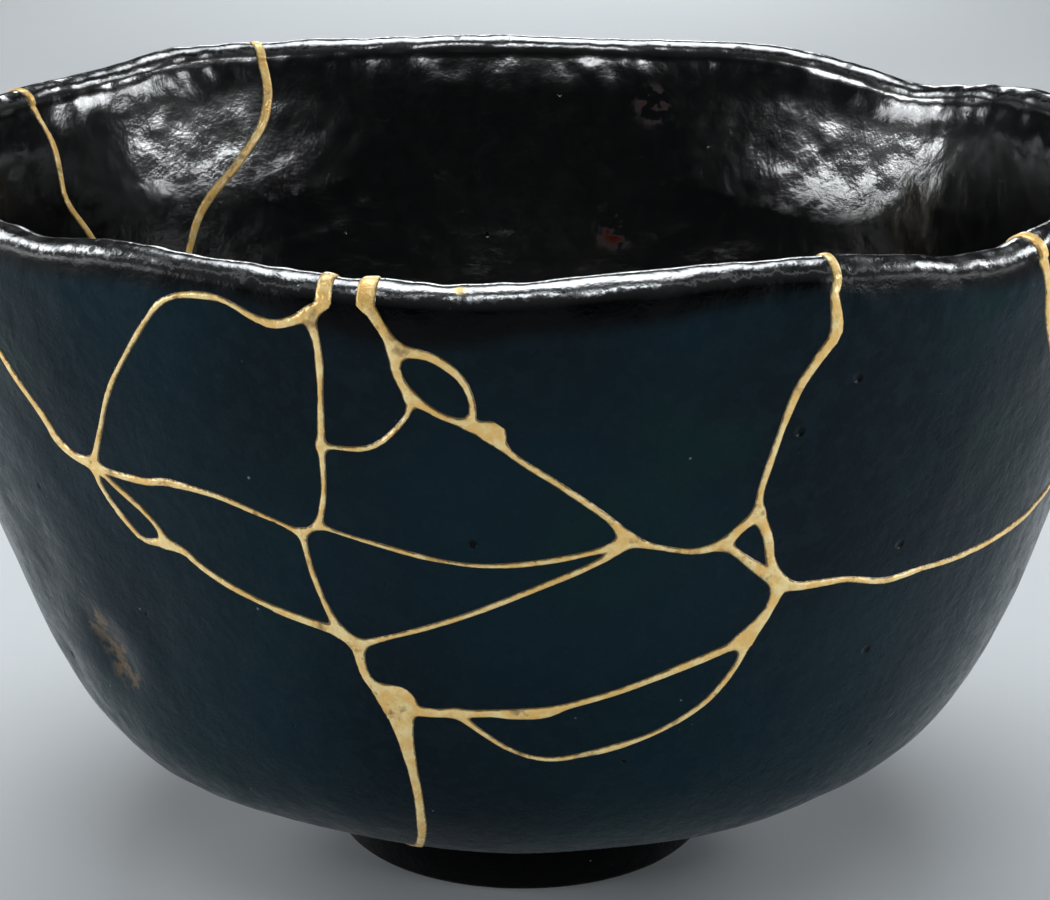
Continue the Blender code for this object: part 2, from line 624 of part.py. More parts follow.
def shifted_outwards(outline, profile):
    """Edge points moved off the sherd by the joint gap: the gold's own edge."""
    loop = outline.points
    before = loop - np.roll(loop, 1, axis=0)
    after = np.roll(loop, -1, axis=0) - loop
    out_before = np.stack([before[:, 1], -before[:, 0]], axis=1)
    out_after = np.stack([after[:, 1], -after[:, 0]], axis=1)
    out_before /= np.linalg.norm(out_before, axis=1)[:, None]
    out_after /= np.linalg.norm(out_after, axis=1)[:, None]
    spread = np.maximum(1 + (out_before * out_after).sum(axis=1), MITRE_LIMIT)
    shift = (out_before + out_after) / spread[:, None]
    radius = np.hypot(loop[:, 0], loop[:, 1])
    shift *= (JOINT_GAP * profile.scale(radius))[:, None]
    moved = loop + shift
    if outline.rim_count:
        for index, normal in ((0, out_before[0]), (outline.rim_count - 1,
                                                   out_after[outline.rim_count - 1])):
            way = -1 if index == 0 else 1
            tangent = way * np.array([-loop[index, 1], loop[index, 0]]) / radius[index]
            lean = max(float(normal @ tangent), MITRE_LIMIT)
            turned = loop[index] + tangent * JOINT_GAP * profile.scale(radius[index]) / lean
            moved[index] = turned * radius[index] / np.hypot(*turned)
    return moved


class DiscMesh:
    """Triangles of the disc, each belonging to a sherd or to the gold."""

    def __init__(self, bowl, seams, outlines):
        self.bowl = bowl
        self.seams = seams
        self.points = []
        self.edges = []
        self.gold_points = {}
        self.rim_points = set()
        self.loops = {}
        for name, outline in outlines.items():
            self._add_outline(name, outline)
        self._add_rim_mouths(outlines)
        self._add_foot_rings()
        self._add_grid()
        self._triangulate()

    def _add_outline(self, name, outline):
        first = len(self.points)
        count = len(outline.points)
        self.points += list(outline.points)
        self.edges += [(first + k, first + (k + 1) % count) for k in range(count)]
        self.loops[name] = outline.points
        self.rim_points |= set(range(first, first + outline.rim_count))
        moved = shifted_outwards(outline, self.bowl.profile)
        self.gold_points.update({first + k: moved[k] for k in range(count)})

    def _add_rim_mouths(self, outlines):
        """Rim edges across each seam, between the corners of two sherds."""
        rim = sorted(self.rim_points, key=lambda k: azimuth_of(self.points[k]))
        joined = {frozenset(edge) for edge in self.edges}
        for a, b in zip(rim, rim[1:] + rim[:1]):
            if frozenset((a, b)) not in joined:
                self.edges.append((a, b))

    def _add_foot_rings(self):
        profile = self.bowl.profile
        azimuths = np.arange(FOOT_SIDES) * 360.0 / FOOT_SIDES
        for disc in profile.disc[1:profile.corner + 1]:
            first = len(self.points)
            self.points += list(to_disc(azimuths, disc))
            self.edges += [(first + k, first + (k + 1) % FOOT_SIDES)
                           for k in range(FOOT_SIDES)]
        self.points.append(np.zeros(2))

    def _add_grid(self):
        """Even rows of points on the wall, away from the broken edges."""
        profile = self.bowl.profile
        rows = round(profile.wall_length / GRID_STEP)
        grid = []
        for row in range(1, rows):
            disc = profile.disc_at_share(row / rows)
            around = round(2 * math.pi * profile.read("outer_r", disc) / GRID_STEP)
            around = max(around, FOOT_SIDES)
            azimuths = (np.arange(around) + 0.5 * (row % 2)) * 360.0 / around
            grid.append(to_disc(azimuths, disc))
        grid = np.vstack(grid)
        clear = self.seams.distance(grid) > JOINT_GAP + GRID_CLEARANCE
        self.points += list(grid[clear])

    def _triangulate(self):
        unit = 1 / MM
        flat = [Vector((float(p[0] * unit), float(p[1] * unit))) for p in self.points]
        result = delaunay_2d_cdt(flat, self.edges, [], 0, 1e-6, True)
        origin = [ids[0] for ids in result[3]]
        self.triangles = np.array([[origin[k] for k in face] for face in result[2]])
        points = np.array(self.points)
        corners = points[self.triangles]
        self.owner = np.array([GOLD_NAME] * len(self.triangles), dtype=object)
        centres = corners.mean(axis=1)
        for name, loop in self.loops.items():
            self.owner[inside(centres, loop)] = name


def boundary_edges(triangles):
    """Directed edges with a triangle on their left only."""
    directed = {(int(t[k]), int(t[(k + 1) % 3])) for t in triangles for k in range(3)}
    return [edge for edge in directed if (edge[1], edge[0]) not in directed]


def lifted_solid(mesh, name):
    """Closed solid between the outer and the inner surface over one region."""
    bowl = mesh.bowl
    gold = name == GOLD_NAME
    raised = SEAM_RAISE if gold else 0.0
    triangles = mesh.triangles[mesh.owner == name]
    used = sorted({int(k) for k in triangles.ravel()})
    flat = np.array([mesh.gold_points.get(k, mesh.points[k]) if gold else mesh.points[k]
                     for k in used])
    outer = dict(zip(used, bowl.surface(flat, "outer", raised)))
    inner = dict(zip(used, bowl.surface(flat, "inner", raised)))
    bm = bmesh.new()
    low = {k: bm.verts.new(outer[k]) for k in used}
    high = {k: bm.verts.new(inner[k]) for k in used}
    for a, b, c in triangles:
        bm.faces.new((low[c], low[b], low[a]))
        bm.faces.new((high[a], high[b], high[c]))
    border = boundary_edges(triangles)
    rim = [(a, b) for a, b in border if a in mesh.rim_points and b in mesh.rim_points]
    wall = [edge for edge in border if edge not in set(rim)]
    for a, b in wall:
        bm.faces.new((high[b], high[a], low[a], low[b]))
    add_lip(bm, bowl, rim, low, high, outer, inner, raised)
    return bm


def add_lip(bm, bowl, rim, low, high, outer, inner, raised):
    """Rounded lip over the rim edges, with a flat end at each broken edge."""
    over = {}
    for k in {k for edge in rim for k in edge}:
        over[k] = [bm.verts.new(p) for p in bowl.lip(outer[k], inner[k], raised)]
    for a, b in rim:
        line_a = [low[a]] + over[a] + [high[a]]
        line_b = [low[b]] + over[b] + [high[b]]
        for k in range(len(line_a) - 1):
            bm.faces.new((line_b[k + 1], line_a[k + 1], line_a[k], line_b[k]))
    starts = {a for a, b in rim}
    ends = {b for a, b in rim}
    for k in starts - ends:
        bm.faces.new([low[k]] + over[k] + [high[k]])
    for k in ends - starts:
        bm.faces.new([high[k]] + over[k][::-1] + [low[k]])


def material(name, colour, metallic, roughness):
    mat = bpy.data.materials.new(name)
    mat.use_nodes = True
    shader = mat.node_tree.nodes["Principled BSDF"]
    shader.inputs["Base Color"].default_value = colour
    shader.inputs["Metallic"].default_value = metallic
    shader.inputs["Roughness"].default_value = roughness
    return mat


def add_object(name, bm, mat):
    bmesh.ops.triangulate(bm, faces=bm.faces)
    data = bpy.data.meshes.new(name)
    bm.to_mesh(data)
    bm.free()
    data.materials.append(mat)
    data.shade_smooth()
    data.set_sharp_from_angle(angle=SHARP_ANGLE)
    made = bpy.data.objects.new(name, data)
    bpy.context.scene.collection.objects.link(made)
    return made


def main():
    for old in list(bpy.data.objects):
        bpy.data.objects.remove(old)
    bowl = Bowl()
    seams = Seams(bowl.profile)
    outlines = {name: Outline(bowl, seams, names) for name, names in SHERDS.items()}
    mesh = DiscMesh(bowl, seams, outlines)
    for name in SHERDS:
        glaze = material(name + "_glaze", GLAZE_COLOUR, 0.0, GLAZE_ROUGHNESS)
        add_object(name, lifted_solid(mesh, name), glaze)
    gold = material("gold_lacquer", GOLD_COLOUR, 1.0, GOLD_ROUGHNESS)
    add_object(GOLD_NAME, lifted_solid(mesh, GOLD_NAME), gold)


main()
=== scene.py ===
"""Looks of a black-glazed tea bowl mended with gold lacquer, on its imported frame.

Units are metres, +Z is up. Azimuth 0 is the front (-Y) and grows towards +X, in degrees.
A mark's height is a percentage of the way up the outside, from the foot to the lip's top.

The wall is worked out on a flat disc: its centre is the middle of the base, its border is
the rim, and the map from disc to bowl keeps angles. Each sherd's edge runs just under the
edge of the gold, which lies over the joints as a low rounded bead.
"""
import math

import bpy
import numpy as np
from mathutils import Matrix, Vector
from mathutils.geometry import delaunay_2d_cdt
from mathutils.kdtree import KDTree


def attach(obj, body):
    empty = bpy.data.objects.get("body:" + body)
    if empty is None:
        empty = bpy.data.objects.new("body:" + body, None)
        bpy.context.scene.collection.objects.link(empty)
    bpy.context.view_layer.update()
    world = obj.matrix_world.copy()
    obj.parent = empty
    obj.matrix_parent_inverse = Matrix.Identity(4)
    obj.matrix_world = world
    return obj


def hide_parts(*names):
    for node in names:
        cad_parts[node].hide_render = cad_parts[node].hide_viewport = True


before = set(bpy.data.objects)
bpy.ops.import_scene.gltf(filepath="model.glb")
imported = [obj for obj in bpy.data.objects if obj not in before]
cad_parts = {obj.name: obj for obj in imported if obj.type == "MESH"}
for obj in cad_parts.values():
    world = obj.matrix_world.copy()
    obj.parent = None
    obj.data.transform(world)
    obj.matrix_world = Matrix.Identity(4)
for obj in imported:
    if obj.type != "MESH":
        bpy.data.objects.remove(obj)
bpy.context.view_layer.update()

# Overall form
BOWL_HEIGHT = 0.0709
RIM_RADIUS = 0.0600
WALL_LEAN = math.radians(12.2)
WALL_FULLNESS = 1.07
UNDERSIDE_SLOPE = math.radians(31.3)
UNDERSIDE_FULLNESS = 0.643

# Wall and lip
LIP_THICKNESS = 0.0045
LIP_ROUNDING = 0.0018
FOOT_WALL_THICKNESS = 0.0080
BASE_THICKNESS = 0.0059

# Ring foot
FOOT_RADIUS = 0.0187
FOOT_HEIGHT = 0.0051
FOOT_TAPER = 0.0009
FOOT_RING_WIDTH = 0.0037
FOOT_CHAMFER = 0.0005
FOOT_RECESS = 0.0030
FOOT_RECESS_SLOPE = 0.0015

# The rim rises and dips by these millimetres at these azimuths
RIM_RISE = [
    (-178, 0.4), (-150, 0.8), (-139, 1.2), (-128, 0.2), (-110, 0.1), (-80, 0.2),
    (-58, 0.1), (-45, -0.5), (-33, 0.45), (-16, -0.25), (-3, -0.45), (7, 0.25),
    (20, 0.85), (30, 0.1), (40, -1.1), (49, -0.3), (75, 0.3), (98, 0.5), (112, 0.4),
    (121, -0.5), (132, -1.8), (142, -0.45), (151, 0.45), (166, 0.25),
]

# The plan is a little out of round: lobes, swell in millimetres, azimuth of a crest
PLAN_WAVES = [(2, 0.35, 60), (3, 0.30, 20), (5, 0.15, 0)]

# Hollows pressed into the outside: azimuth, height, radius and depth in millimetres.
# Where the depth is below nothing, the wall swells instead.
HOLLOWS = [
    (-48.0, 50.5, 3.4, 0.9),
    (-62.0, 44.0, 3.0, 0.4),
    (-56.0, 60.0, 6.0, 0.4),
    (-40.0, 57.0, 5.0, 0.3),
    (-58.0, 24.0, 14.0, -0.5),
]

# Mesh fineness
GRID_STEP = 0.00060
RIM_STEPS = 720
FOOT_SIDES = 180
LIP_STEPS = 16
OUTLINE_STEP = 0.00025
OUTLINE_TOLERANCE = 0.00001
WALL_SAMPLES = 400
GRID_CLEARANCE = 0.5 * GRID_STEP
GOLD_STEP = 0.00028
MOUTH_STEP = 0.00018
BLOCK = 6000
FAR = 0.0015

# How the form changes down the wall, as powers of the share
THICKENING_POWER = 1.3
LEVEL_LIP_POWER = 2
FLOOR_DISH_POWER = 3
RIM_RISE_POWER = 4

# The lip rolls over gently on both sides
OUTER_ROLL_LENGTH = 0.0040
OUTER_ROLL = math.tan(math.radians(15))
INNER_ROLL_LENGTH = 0.0045
INNER_ROLL = math.tan(math.radians(15))

# Search for a sherd's edge beside its breaks
EDGE_REACH = 0.0040
EDGE_PROBE = 0.0001
EDGE_SPACING = 0.4 * OUTLINE_STEP
EDGE_ORDER_SPREAD = 9
EDGE_ORDER_DECIMALS = 2
EDGE_RIM_CLEARANCE = 0.0002
CORNER_REACH = 5.0
CORNER_PROBE = 0.02
CORNER_MARGIN = 0.25
BORDER_SAMPLES = 200
MITRE_LIMIT = 0.6
DISTANCE_STRIDE = 3

# Gold: the sherds' edges run under it, so the gap is less than nothing
JOINT_GAP = -0.00008
SEAM_FILLET = 0.0002
GOLD_WAVER = 0.00007
GOLD_WAVER_SIZE = 0.0021
GOLD_SUNK = 0.00005
GOLD_CROWN = 0.00015
GOLD_SHOULDER = 0.00036
GOLD_LUMPS = 0.00003
GOLD_LUMP_SIZE = 0.0012

# Uneven glaze, as (size of the waves, height) pairs
OUTSIDE_WAVES = [(0.0150, 0.00016), (0.0065, 0.00008), (0.0030, 0.00004), (0.0017, 0.00002)]
INSIDE_WAVES = [(0.0120, 0.00012), (0.0050, 0.00007), (0.0023, 0.00005), (0.0014, 0.00003)]
LIP_WAVES = [(0.0060, 0.00013), (0.0026, 0.00014), (0.0015, 0.00009)]
LIP_WAVES_REACH = 0.0030
DENTED_SIDE = -60
DENTED_SPREAD = 32
DENTED_EXTRA = 1.4

# Below the lip a near-black band is painted into the glaze for the dark reflection there: its
# least and most depth, and where it is deepest
PAINTED_BAND_LEAST = 0.0008
PAINTED_BAND_MOST = 0.0030
PAINTED_BAND_MIDDLE = -2
PAINTED_BAND_SPREAD = 17
PAINTED_BAND_SPREAD_POWER = 4
PAINTED_BAND_EDGE = 0.0012
PAINTED_BAND_WAVER = 0.35
PAINTED_BAND_WAVER_SIZE = 0.0060

# Seeds of the waves, and the whole numbers that scatter them
OUTSIDE_SEED = 10
INSIDE_SEED = 40
LIP_SEED = 70
PAINTED_BAND_SEED = 90
GOLD_WAVER_SEED = 3
GOLD_LUMP_SEED = 5
CELL_PRIMES = (73856093, 19349663, 83492791)
SEED_PRIME = 977
SCATTER = ((2654435761, 15), (2246822519, 13))
LOW_BITS = 0xFFFFFFFF

# Smoothing, rings under the foot, and lines of points along the gold
SHARP_ANGLE = math.radians(35)
FLOOR_RINGS = 12
GOLD_LINES = (-0.9, -0.7, -0.45, -0.2, 0.0, 0.2, 0.45, 0.7, 0.9)
GOLD_LINE_SPACING = 0.00012
GOLD_LINE_INSET = 0.00004
GOLD_RIM_INSET = 0.0001

# Common values
UP = np.array([0.0, 0.0, 1.0])
MM = 0.001
ROUNDING = 1e-6
LEAST_SQUARE = 1e-18

# Marks on the glaze, as (azimuth, height) of the outside or the inside.
# The core is the share of its reach within which a mark is full.
TONG_MARKS = [(-49.3, 53.2), (-47.9, 50.3), (-46.8, 47.6)]
TONG_REACH = 0.0030
SCUFF = (-7.3, 81.0)
SCUFF_REACH = 0.0060
SCUFF_SHARE = 0.35
RUST_SPOTS = [(163.7, 91.2), (167.7, 73.5)]
RUST_REACH = 0.0030
PINHOLES = [(35.8, 67.6), (-62.8, 43.6), (27.2, 88.0), (22.7, 82.6), (35.3, 54.5)]
PINHOLE_REACH = 0.00055
GOLD_DAB = (-4.6, 99.7)
GOLD_DAB_OFFSET = (0.0, 0.0008, 0.0016)
GOLD_DAB_REACH = 0.0007
MARK_CORE = 0.25

# Fine detail of the glaze. A spot's soft edge is a share of its radius.
SPECK_SPACING = 0.0011
SPECK_RADIUS = 0.00018
SPECK_SHARE = 0.03
PIN_SPACING = 0.0042
PIN_RADIUS = 0.00042
PIN_SHARE = 0.40
PIT_DEPTH = 0.00018
PEEL_HEIGHT = 0.00010
PEEL_INSIDE = 0.5
LIP_RAGGED = 0.90
LIP_PIT_SPACING = 0.0015
LIP_PIT_RADIUS = 0.00050
LIP_PIT_SHARE = 0.45
SPOT_EDGE = 0.35

# Noise of the looks: size, detail and roughness
BROAD_NOISE = (0.030, 1.0, 0.5)
PATCH_NOISE = (0.017, 2.0, 0.6)
MOTTLE_NOISE = (0.0020, 2.0, 0.65)
LIP_NOISE = (0.0009, 3.0, 0.7)
PEEL_NOISE = (0.0014, 3.0, 0.62)
GOLD_MOTTLE_NOISE = (0.0016, 3.0, 0.65)
GOLD_WORN_NOISE = (0.0026, 3.0, 0.7)
GOLD_EDGE_NOISE = (0.0006, 2.0, 0.5)
GOLD_GRAIN_NOISE = (0.0008, 3.0, 0.6)
FLOOR_NOISE = (0.20, 2.0, 0.5)
NOISE_MIDDLE = 0.5

# Where each pattern starts and where it is full
BROAD_RANGE = (0.35, 0.65)
PATCH_RANGE = (0.54, 0.72)
PALE_RANGE = (0.40, 0.75)
ROUGH_RANGE = (0.30, 0.75)
TONG_RANGE = (0.42, 0.58)
RUST_RANGE = (0.48, 0.62)
LIP_TOP_FACES = (0.42, 0.62)
FOOT_PAINTED_SHADE_RANGE = (0.0085, 0.0045)
GOLD_MOTTLE_RANGE = (0.38, 0.66)
GOLD_WORN_RANGE = (0.55, 0.70)
GOLD_EDGE_RANGE = (0.00008, -0.00002)
FLOOR_RANGE = (0.3, 0.7)

# How much of its colour a pattern brings where it is full
PATCH_STRENGTH = 0.7
PALE_STRENGTH = 0.35
SPECK_STRENGTH = 0.6
GOLD_WORN_STRENGTH = 0.75
GOLD_EDGE_STRENGTH = 0.85

# Colours, linear, with how rough and how metallic the surfaces are
GLAZE_DEEP = (0.0007, 0.0068, 0.0112, 1.0)
GLAZE_TEAL = (0.0010, 0.0128, 0.0205, 1.0)
GLAZE_GREEN = (0.0010, 0.0165, 0.0165, 1.0)
GLAZE_PALE = (0.0050, 0.0170, 0.0240, 1.0)
# Near black, painted below the lip as its dark reflection and near the foot as its shade
GLAZE_PAINTED_DARK = (0.0003, 0.0004, 0.0006, 1.0)
GLAZE_INSIDE = (0.160, 0.160, 0.160, 1.0)
GLAZE_LIP = (0.28, 0.285, 0.29, 1.0)
RUST = (0.085, 0.014, 0.008, 1.0)
TONG_BROWN = (0.095, 0.066, 0.040, 1.0)
DUST = (0.24, 0.27, 0.29, 1.0)
PIT_DARK = (0.0004, 0.0005, 0.0006, 1.0)
GLAZE_ROUGHNESS = 0.20
GLAZE_DULLER = 0.14
INSIDE_SMOOTHER = 0.04
INSIDE_EVENER = 0.11
GLAZE_IOR = 1.18
GOLD_PALE = (1.0, 0.78, 0.36, 1.0)
GOLD_OCHRE = (0.90, 0.56, 0.17, 1.0)
GOLD_BROWN = (0.22, 0.12, 0.035, 1.0)
GOLD_EDGE = (0.05, 0.025, 0.010, 1.0)
GOLD_METAL = 0.16
GOLD_ROUGHNESS = 0.27
GOLD_WORN_DULLER = 0.18
GOLD_EDGE_RAGGED = 0.00020
GOLD_GRAIN_HEIGHT = 0.00012
FLOOR_COLOUR = (0.60, 0.625, 0.645, 1.0)
FLOOR_COLOUR_TWO = (0.64, 0.665, 0.685, 1.0)
FLOOR_ROUGHNESS = 0.75
FLOOR_SIZE = 4.0

# Camera
CAMERA_PLACE = (0.0, -0.26280, 0.12203)
CAMERA_PITCH = 17.5
LENS = 95.03
SENSOR_WIDTH = 36.0
SHIFT = (0.00265, -0.00103)
CLIP_START = 0.01

# Studio: name, place, what it points at, width and height, spread in degrees, watts
ROOM_COLOUR = (0.50, 0.56, 0.62, 1.0)
ROOM_STRENGTH = 0.02
LAMP_COLOUR = (0.95, 0.98, 1.0)
BOWL_MIDDLE = (0.0, 0.0, 0.05)
LIGHTS = [
    ("overhead", (0.0, 0.28, 0.96), BOWL_MIDDLE, (0.75, 0.75), 70, 1.6),
    ("key", (-0.03, -0.60, 0.80), BOWL_MIDDLE, (0.56, 0.19), 180, 1.8),
    ("left_window", (-0.72, 0.24, 0.52), BOWL_MIDDLE, (0.50, 0.26), 60, 0.22),
    ("right_window", (0.72, 0.20, 0.52), BOWL_MIDDLE, (0.50, 0.20), 60, 0.20),
    ("left_low", (-0.84, -0.12, 0.15), BOWL_MIDDLE, (0.80, 0.14), 180, 4.6),
    ("right_low", (0.84, -0.28, 0.14), BOWL_MIDDLE, (0.60, 0.14), 180, 3.8),
    ("behind", (0.0, 0.72, 0.24), (0.0, 0.55, 0.0), (0.24, 0.12), 180, 0.85),
]

# Breaks: azimuth, height and width of the gold in millimetres
BREAKS = {
    "rim_to_arch": [(-15.0, 100, 1.2), (-16.3, 96.4, 1.1)],
    "arch": [(-16.3, 96.4, 1.0), (-18.8, 95.0, 0.8), (-20.8, 95.2, 0.8), (-24, 96.6, 0.65),
             (-28, 96, 0.6), (-31, 93, 0.65), (-36, 85.6, 0.65), (-39, 79.5, 0.6),
             (-41, 75.3, 0.9)],
    "arch_right": [(-16.3, 96.4, 1.1), (-15.7, 93, 0.8), (-16, 87, 0.65), (-16.3, 82.3, 0.75)],
    "mid_left": [(-16.3, 82.3, 0.75), (-16.6, 77, 0.5), (-17.4, 73.2, 0.7)],
    "left_step": [(-17.4, 73.2, 0.7), (-19.1, 72, 0.75)],
    "rim_to_loop": [(-12.0, 100, 1.1), (-11.5, 97.6, 1.1), (-10.3, 95.2, 1.0), (-9.5, 93.5, 1.3)],
    "loop_left": [(-9.5, 93.5, 1.1), (-9.6, 91.2, 0.75), (-8.6, 88.5, 0.9)],
    "loop_low": [(-8.6, 88.5, 0.9), (-6.4, 86.8, 0.7), (-4.1, 85.9, 0.9)],
    "loop_right": [(-9.5, 93.5, 1.1), (-6.9, 93.0, 0.85), (-4.7, 90.9, 0.75), (-3.8, 87.9, 0.65),
                   (-4.1, 85.9, 0.8)],
    "loop_blob": [(-4.1, 85.9, 1.0), (-2.3, 85.1, 2.0)],
    "middle_right": [(-2.3, 85.1, 1.8), (-1, 82.8, 0.7), (3.2, 78.8, 0.6), (7, 75, 0.6),
                     (8.8, 72.4, 1.1)],
    "loop_branch": [(-8.6, 88.5, 0.65), (-9, 86.5, 0.55), (-12, 82.8, 0.5), (-16.3, 82.3, 0.65)],
    "lens_top": [(8.8, 72.4, 1.1), (6, 71.2, 0.65), (0, 70, 0.6), (-5.5, 70, 0.45),
                 (-12, 71.6, 0.4), (-17.4, 73.2, 0.6)],
    "lens_bottom": [(8.8, 72.4, 1.1), (7, 70.4, 0.75), (1, 67, 0.65), (-5, 63.8, 0.6),
                    (-11.5, 60.8, 0.6), (-15.2, 59.2, 0.85)],
    "to_triangle": [(8.8, 72.4, 1.1), (11.5, 71.3, 0.65), (14.5, 70.5, 0.7), (17.3, 70.9, 1.0)],
    "triangle_left": [(17.3, 70.9, 1.1), (18.5, 72.5, 0.9), (20, 74, 1.1)],
    "triangle_low": [(17.3, 70.9, 0.9), (19.6, 68.7, 0.9), (23.2, 65.4, 1.2)],
    "triangle_right": [(20, 74, 1.0), (21.2, 71.2, 0.9), (21.9, 68.4, 0.9), (23.2, 65.4, 1.2)],
    "right_rim": [(24.3, 100, 1.1), (24, 97, 0.9), (24.5, 93, 1.3), (23.4, 90.5, 1.1),
                  (21.8, 86.7, 0.8), (20.5, 80, 0.75), (19.9, 76.5, 0.8), (20, 74, 0.8)],
    "right": [(23.2, 65.4, 1.2), (25, 64.8, 0.9), (30, 64.7, 0.7), (35, 63.4, 0.8),
              (40, 63.6, 0.75), (47, 63.3, 0.8), (56, 64.2, 0.8), (63, 66, 0.8), (69, 68, 0.8)],
    "far_right_rim": [(45.9, 100, 1.3), (46.7, 96, 1.1), (49, 89.5, 0.9), (54, 82, 0.8),
                      (60, 75, 0.8), (69, 68, 0.8)],
    "to_crescent": [(23.2, 65.4, 1.3), (22.6, 62.5, 1.0), (20.6, 59, 2.0)],
    "crescent_top": [(20.6, 59, 1.6), (19, 58.3, 0.9), (14, 56.2, 0.8), (7.4, 53.5, 0.8),
                     (4.3, 52.5, 0.9), (2, 51.7, 1.4), (-1, 51.5, 1.2), (-3, 51.6, 0.9),
                     (-6.3, 51.4, 0.9)],
    "crescent_left": [(-6.3, 51.4, 0.9), (-10, 51.4, 1.1), (-12.0, 52.6, 2.4)],
    "crescent_low": [(20.6, 59, 1.2), (20.5, 56.5, 0.65), (18, 52, 0.7), (13.5, 48.4, 0.7),
                     (7, 46, 0.7), (2.4, 45.2, 0.7), (-1, 46.4, 0.65), (-4, 49, 0.65),
                     (-6.3, 51.4, 0.7)],
    "left_rim": [(-41, 75.3, 1.1), (-43.7, 75.8, 0.9), (-45.7, 77.2, 1.1), (-46.7, 79.5, 1.0),
                 (-50, 84, 0.85), (-54, 90, 0.8), (-57, 95, 0.9), (-58.5, 100, 1.1)],
    "left_lens_top": [(-41, 75.3, 1.1), (-39.5, 74.9, 0.75), (-35, 74.5, 0.9), (-32, 75, 0.9),
                      (-27, 74.6, 0.7), (-22, 73.1, 0.55), (-19.1, 72, 0.8)],
    "twin_left": [(-41, 75.3, 1.0), (-40.9, 73.5, 0.8), (-39.9, 71, 0.7), (-38.3, 68.6, 0.7),
                  (-36.9, 67.2, 0.65), (-34.2, 67.4, 1.0)],
    "twin_right": [(-41, 75.3, 1.0), (-39.4, 73.8, 0.7), (-37.5, 72.1, 0.7), (-35.8, 70.5, 0.7),
                   (-34.8, 69.2, 0.7), (-34.2, 67.4, 1.0)],
    "left_lens_low": [(-34.2, 67.4, 1.2), (-32, 66.8, 0.9), (-30, 65.3, 0.75), (-24, 62.6, 0.7),
                      (-19.5, 61.3, 0.85), (-16.8, 60.6, 1.1)],
    "lens_left": [(-19.1, 72, 0.8), (-18.7, 68, 0.6), (-18, 64.5, 0.5), (-16.8, 60.6, 1.0)],
    "low_step": [(-16.8, 60.6, 1.1), (-15.2, 59.2, 1.3)],
    "to_blob": [(-15.2, 59.2, 1.1), (-15, 56.5, 0.85), (-14.3, 54.6, 0.9), (-12.0, 52.6, 2.8)],
    "to_foot": [(-12.0, 52.6, 3.3), (-11.8, 50, 2.3), (-11.6, 47, 1.5), (-11.3, 43, 1.0),
                (-11.2, 38, 1.0), (-12, 31, 0.8), (-14.8, 23, 1.0)],
    "underside": [(-14.8, 23, 1.0), (-20, 18.5, 0.9), (-35, 15, 0.8), (-60, 15, 0.8),
                  (-85, 20, 0.8), (-105, 30, 0.8), (-120, 45, 0.8), (-128, 61, 0.9)],
    "back_left_front": [(-114.8, 100, 1.0), (-115.8, 92, 1.0), (-115.3, 86, 1.0),
                        (-117.7, 80.5, 1.0), (-123, 70, 0.9), (-128, 61, 0.9)],
    "back_left_back": [(-148.4, 100, 1.4), (-148.4, 94, 1.4), (-147, 89.5, 1.2),
                       (-143, 84.8, 1.1), (-137, 79.8, 1.1), (-133.7, 75, 1.1),
                       (-130.5, 68, 1.0), (-128, 61, 0.9)],
}

# Each sherd: the breaks around it, anticlockwise from above, with a minus where one runs
# backwards. A sherd with a piece of the rim starts where its rim ends.
SHERDS = {
    "body_sherd_with_foot": [
        "back_left_back", "-underside", "-to_foot", "-crescent_left", "-crescent_low",
        "-to_crescent", "right", "-far_right_rim"],
    "lower_left_sherd": [
        "-left_rim", "twin_left", "left_lens_low", "low_step", "to_blob", "to_foot",
        "underside", "-back_left_front"],
    "left_rim_sherd": ["rim_to_arch", "arch", "left_rim"],
    "back_left_rim_sherd": ["back_left_front", "-back_left_back"],
    "arched_sherd": ["arch_right", "mid_left", "left_step", "-left_lens_top", "-arch"],
    "narrow_rim_sherd": ["rim_to_loop", "loop_left", "loop_branch", "-arch_right",
                         "-rim_to_arch"],
    "front_rim_sherd": ["right_rim", "-triangle_left", "-to_triangle", "-middle_right",
                        "-loop_blob", "-loop_right", "-rim_to_loop"],
    "right_rim_sherd": ["far_right_rim", "-right", "-triangle_right", "-right_rim"],
    "oval_chip": ["loop_right", "-loop_low", "-loop_left"],
    "triangle_chip": ["triangle_right", "-triangle_low", "triangle_left"],
    "sliver_chip": ["twin_right", "-twin_left"],
    "middle_sherd": ["loop_low", "loop_blob", "middle_right", "lens_top", "-mid_left",
                     "-loop_branch"],
    "upper_lens_sherd": ["-lens_top", "lens_bottom", "-low_step", "-lens_left", "-left_step"],
    "left_lens_sherd": ["left_lens_top", "lens_left", "-left_lens_low", "-twin_right"],
    "centre_sherd": ["-lens_bottom", "to_triangle", "triangle_low", "to_crescent",
                     "crescent_top", "crescent_left", "-to_blob"],
    "crescent_sherd": ["-crescent_top", "crescent_low"],
}
GOLD_NAME = "gold_lacquer_seams"


def lerp(a, b, share):
    return a + (b - a) * share


def radius_of(points):
    return np.hypot(points[..., 0], points[..., 1])


def left_normals(line):
    """Unit vectors that point to the left of a line."""
    tangent = np.gradient(line, axis=0)
    tangent /= np.linalg.norm(tangent, axis=1)[:, None]
    return np.stack([-tangent[:, 1], tangent[:, 0]], axis=1)


def along_segments(points, line):
    """Share along each of a line's segments, and distance from it, for each point."""
    start = line[:-1]
    along = line[1:] - start
    offset = points[:, None, :] - start[None]
    t = np.clip((offset * along).sum(-1) / (along ** 2).sum(-1), 0.0, 1.0)
    return t, np.linalg.norm(offset - t[..., None] * along, axis=-1)


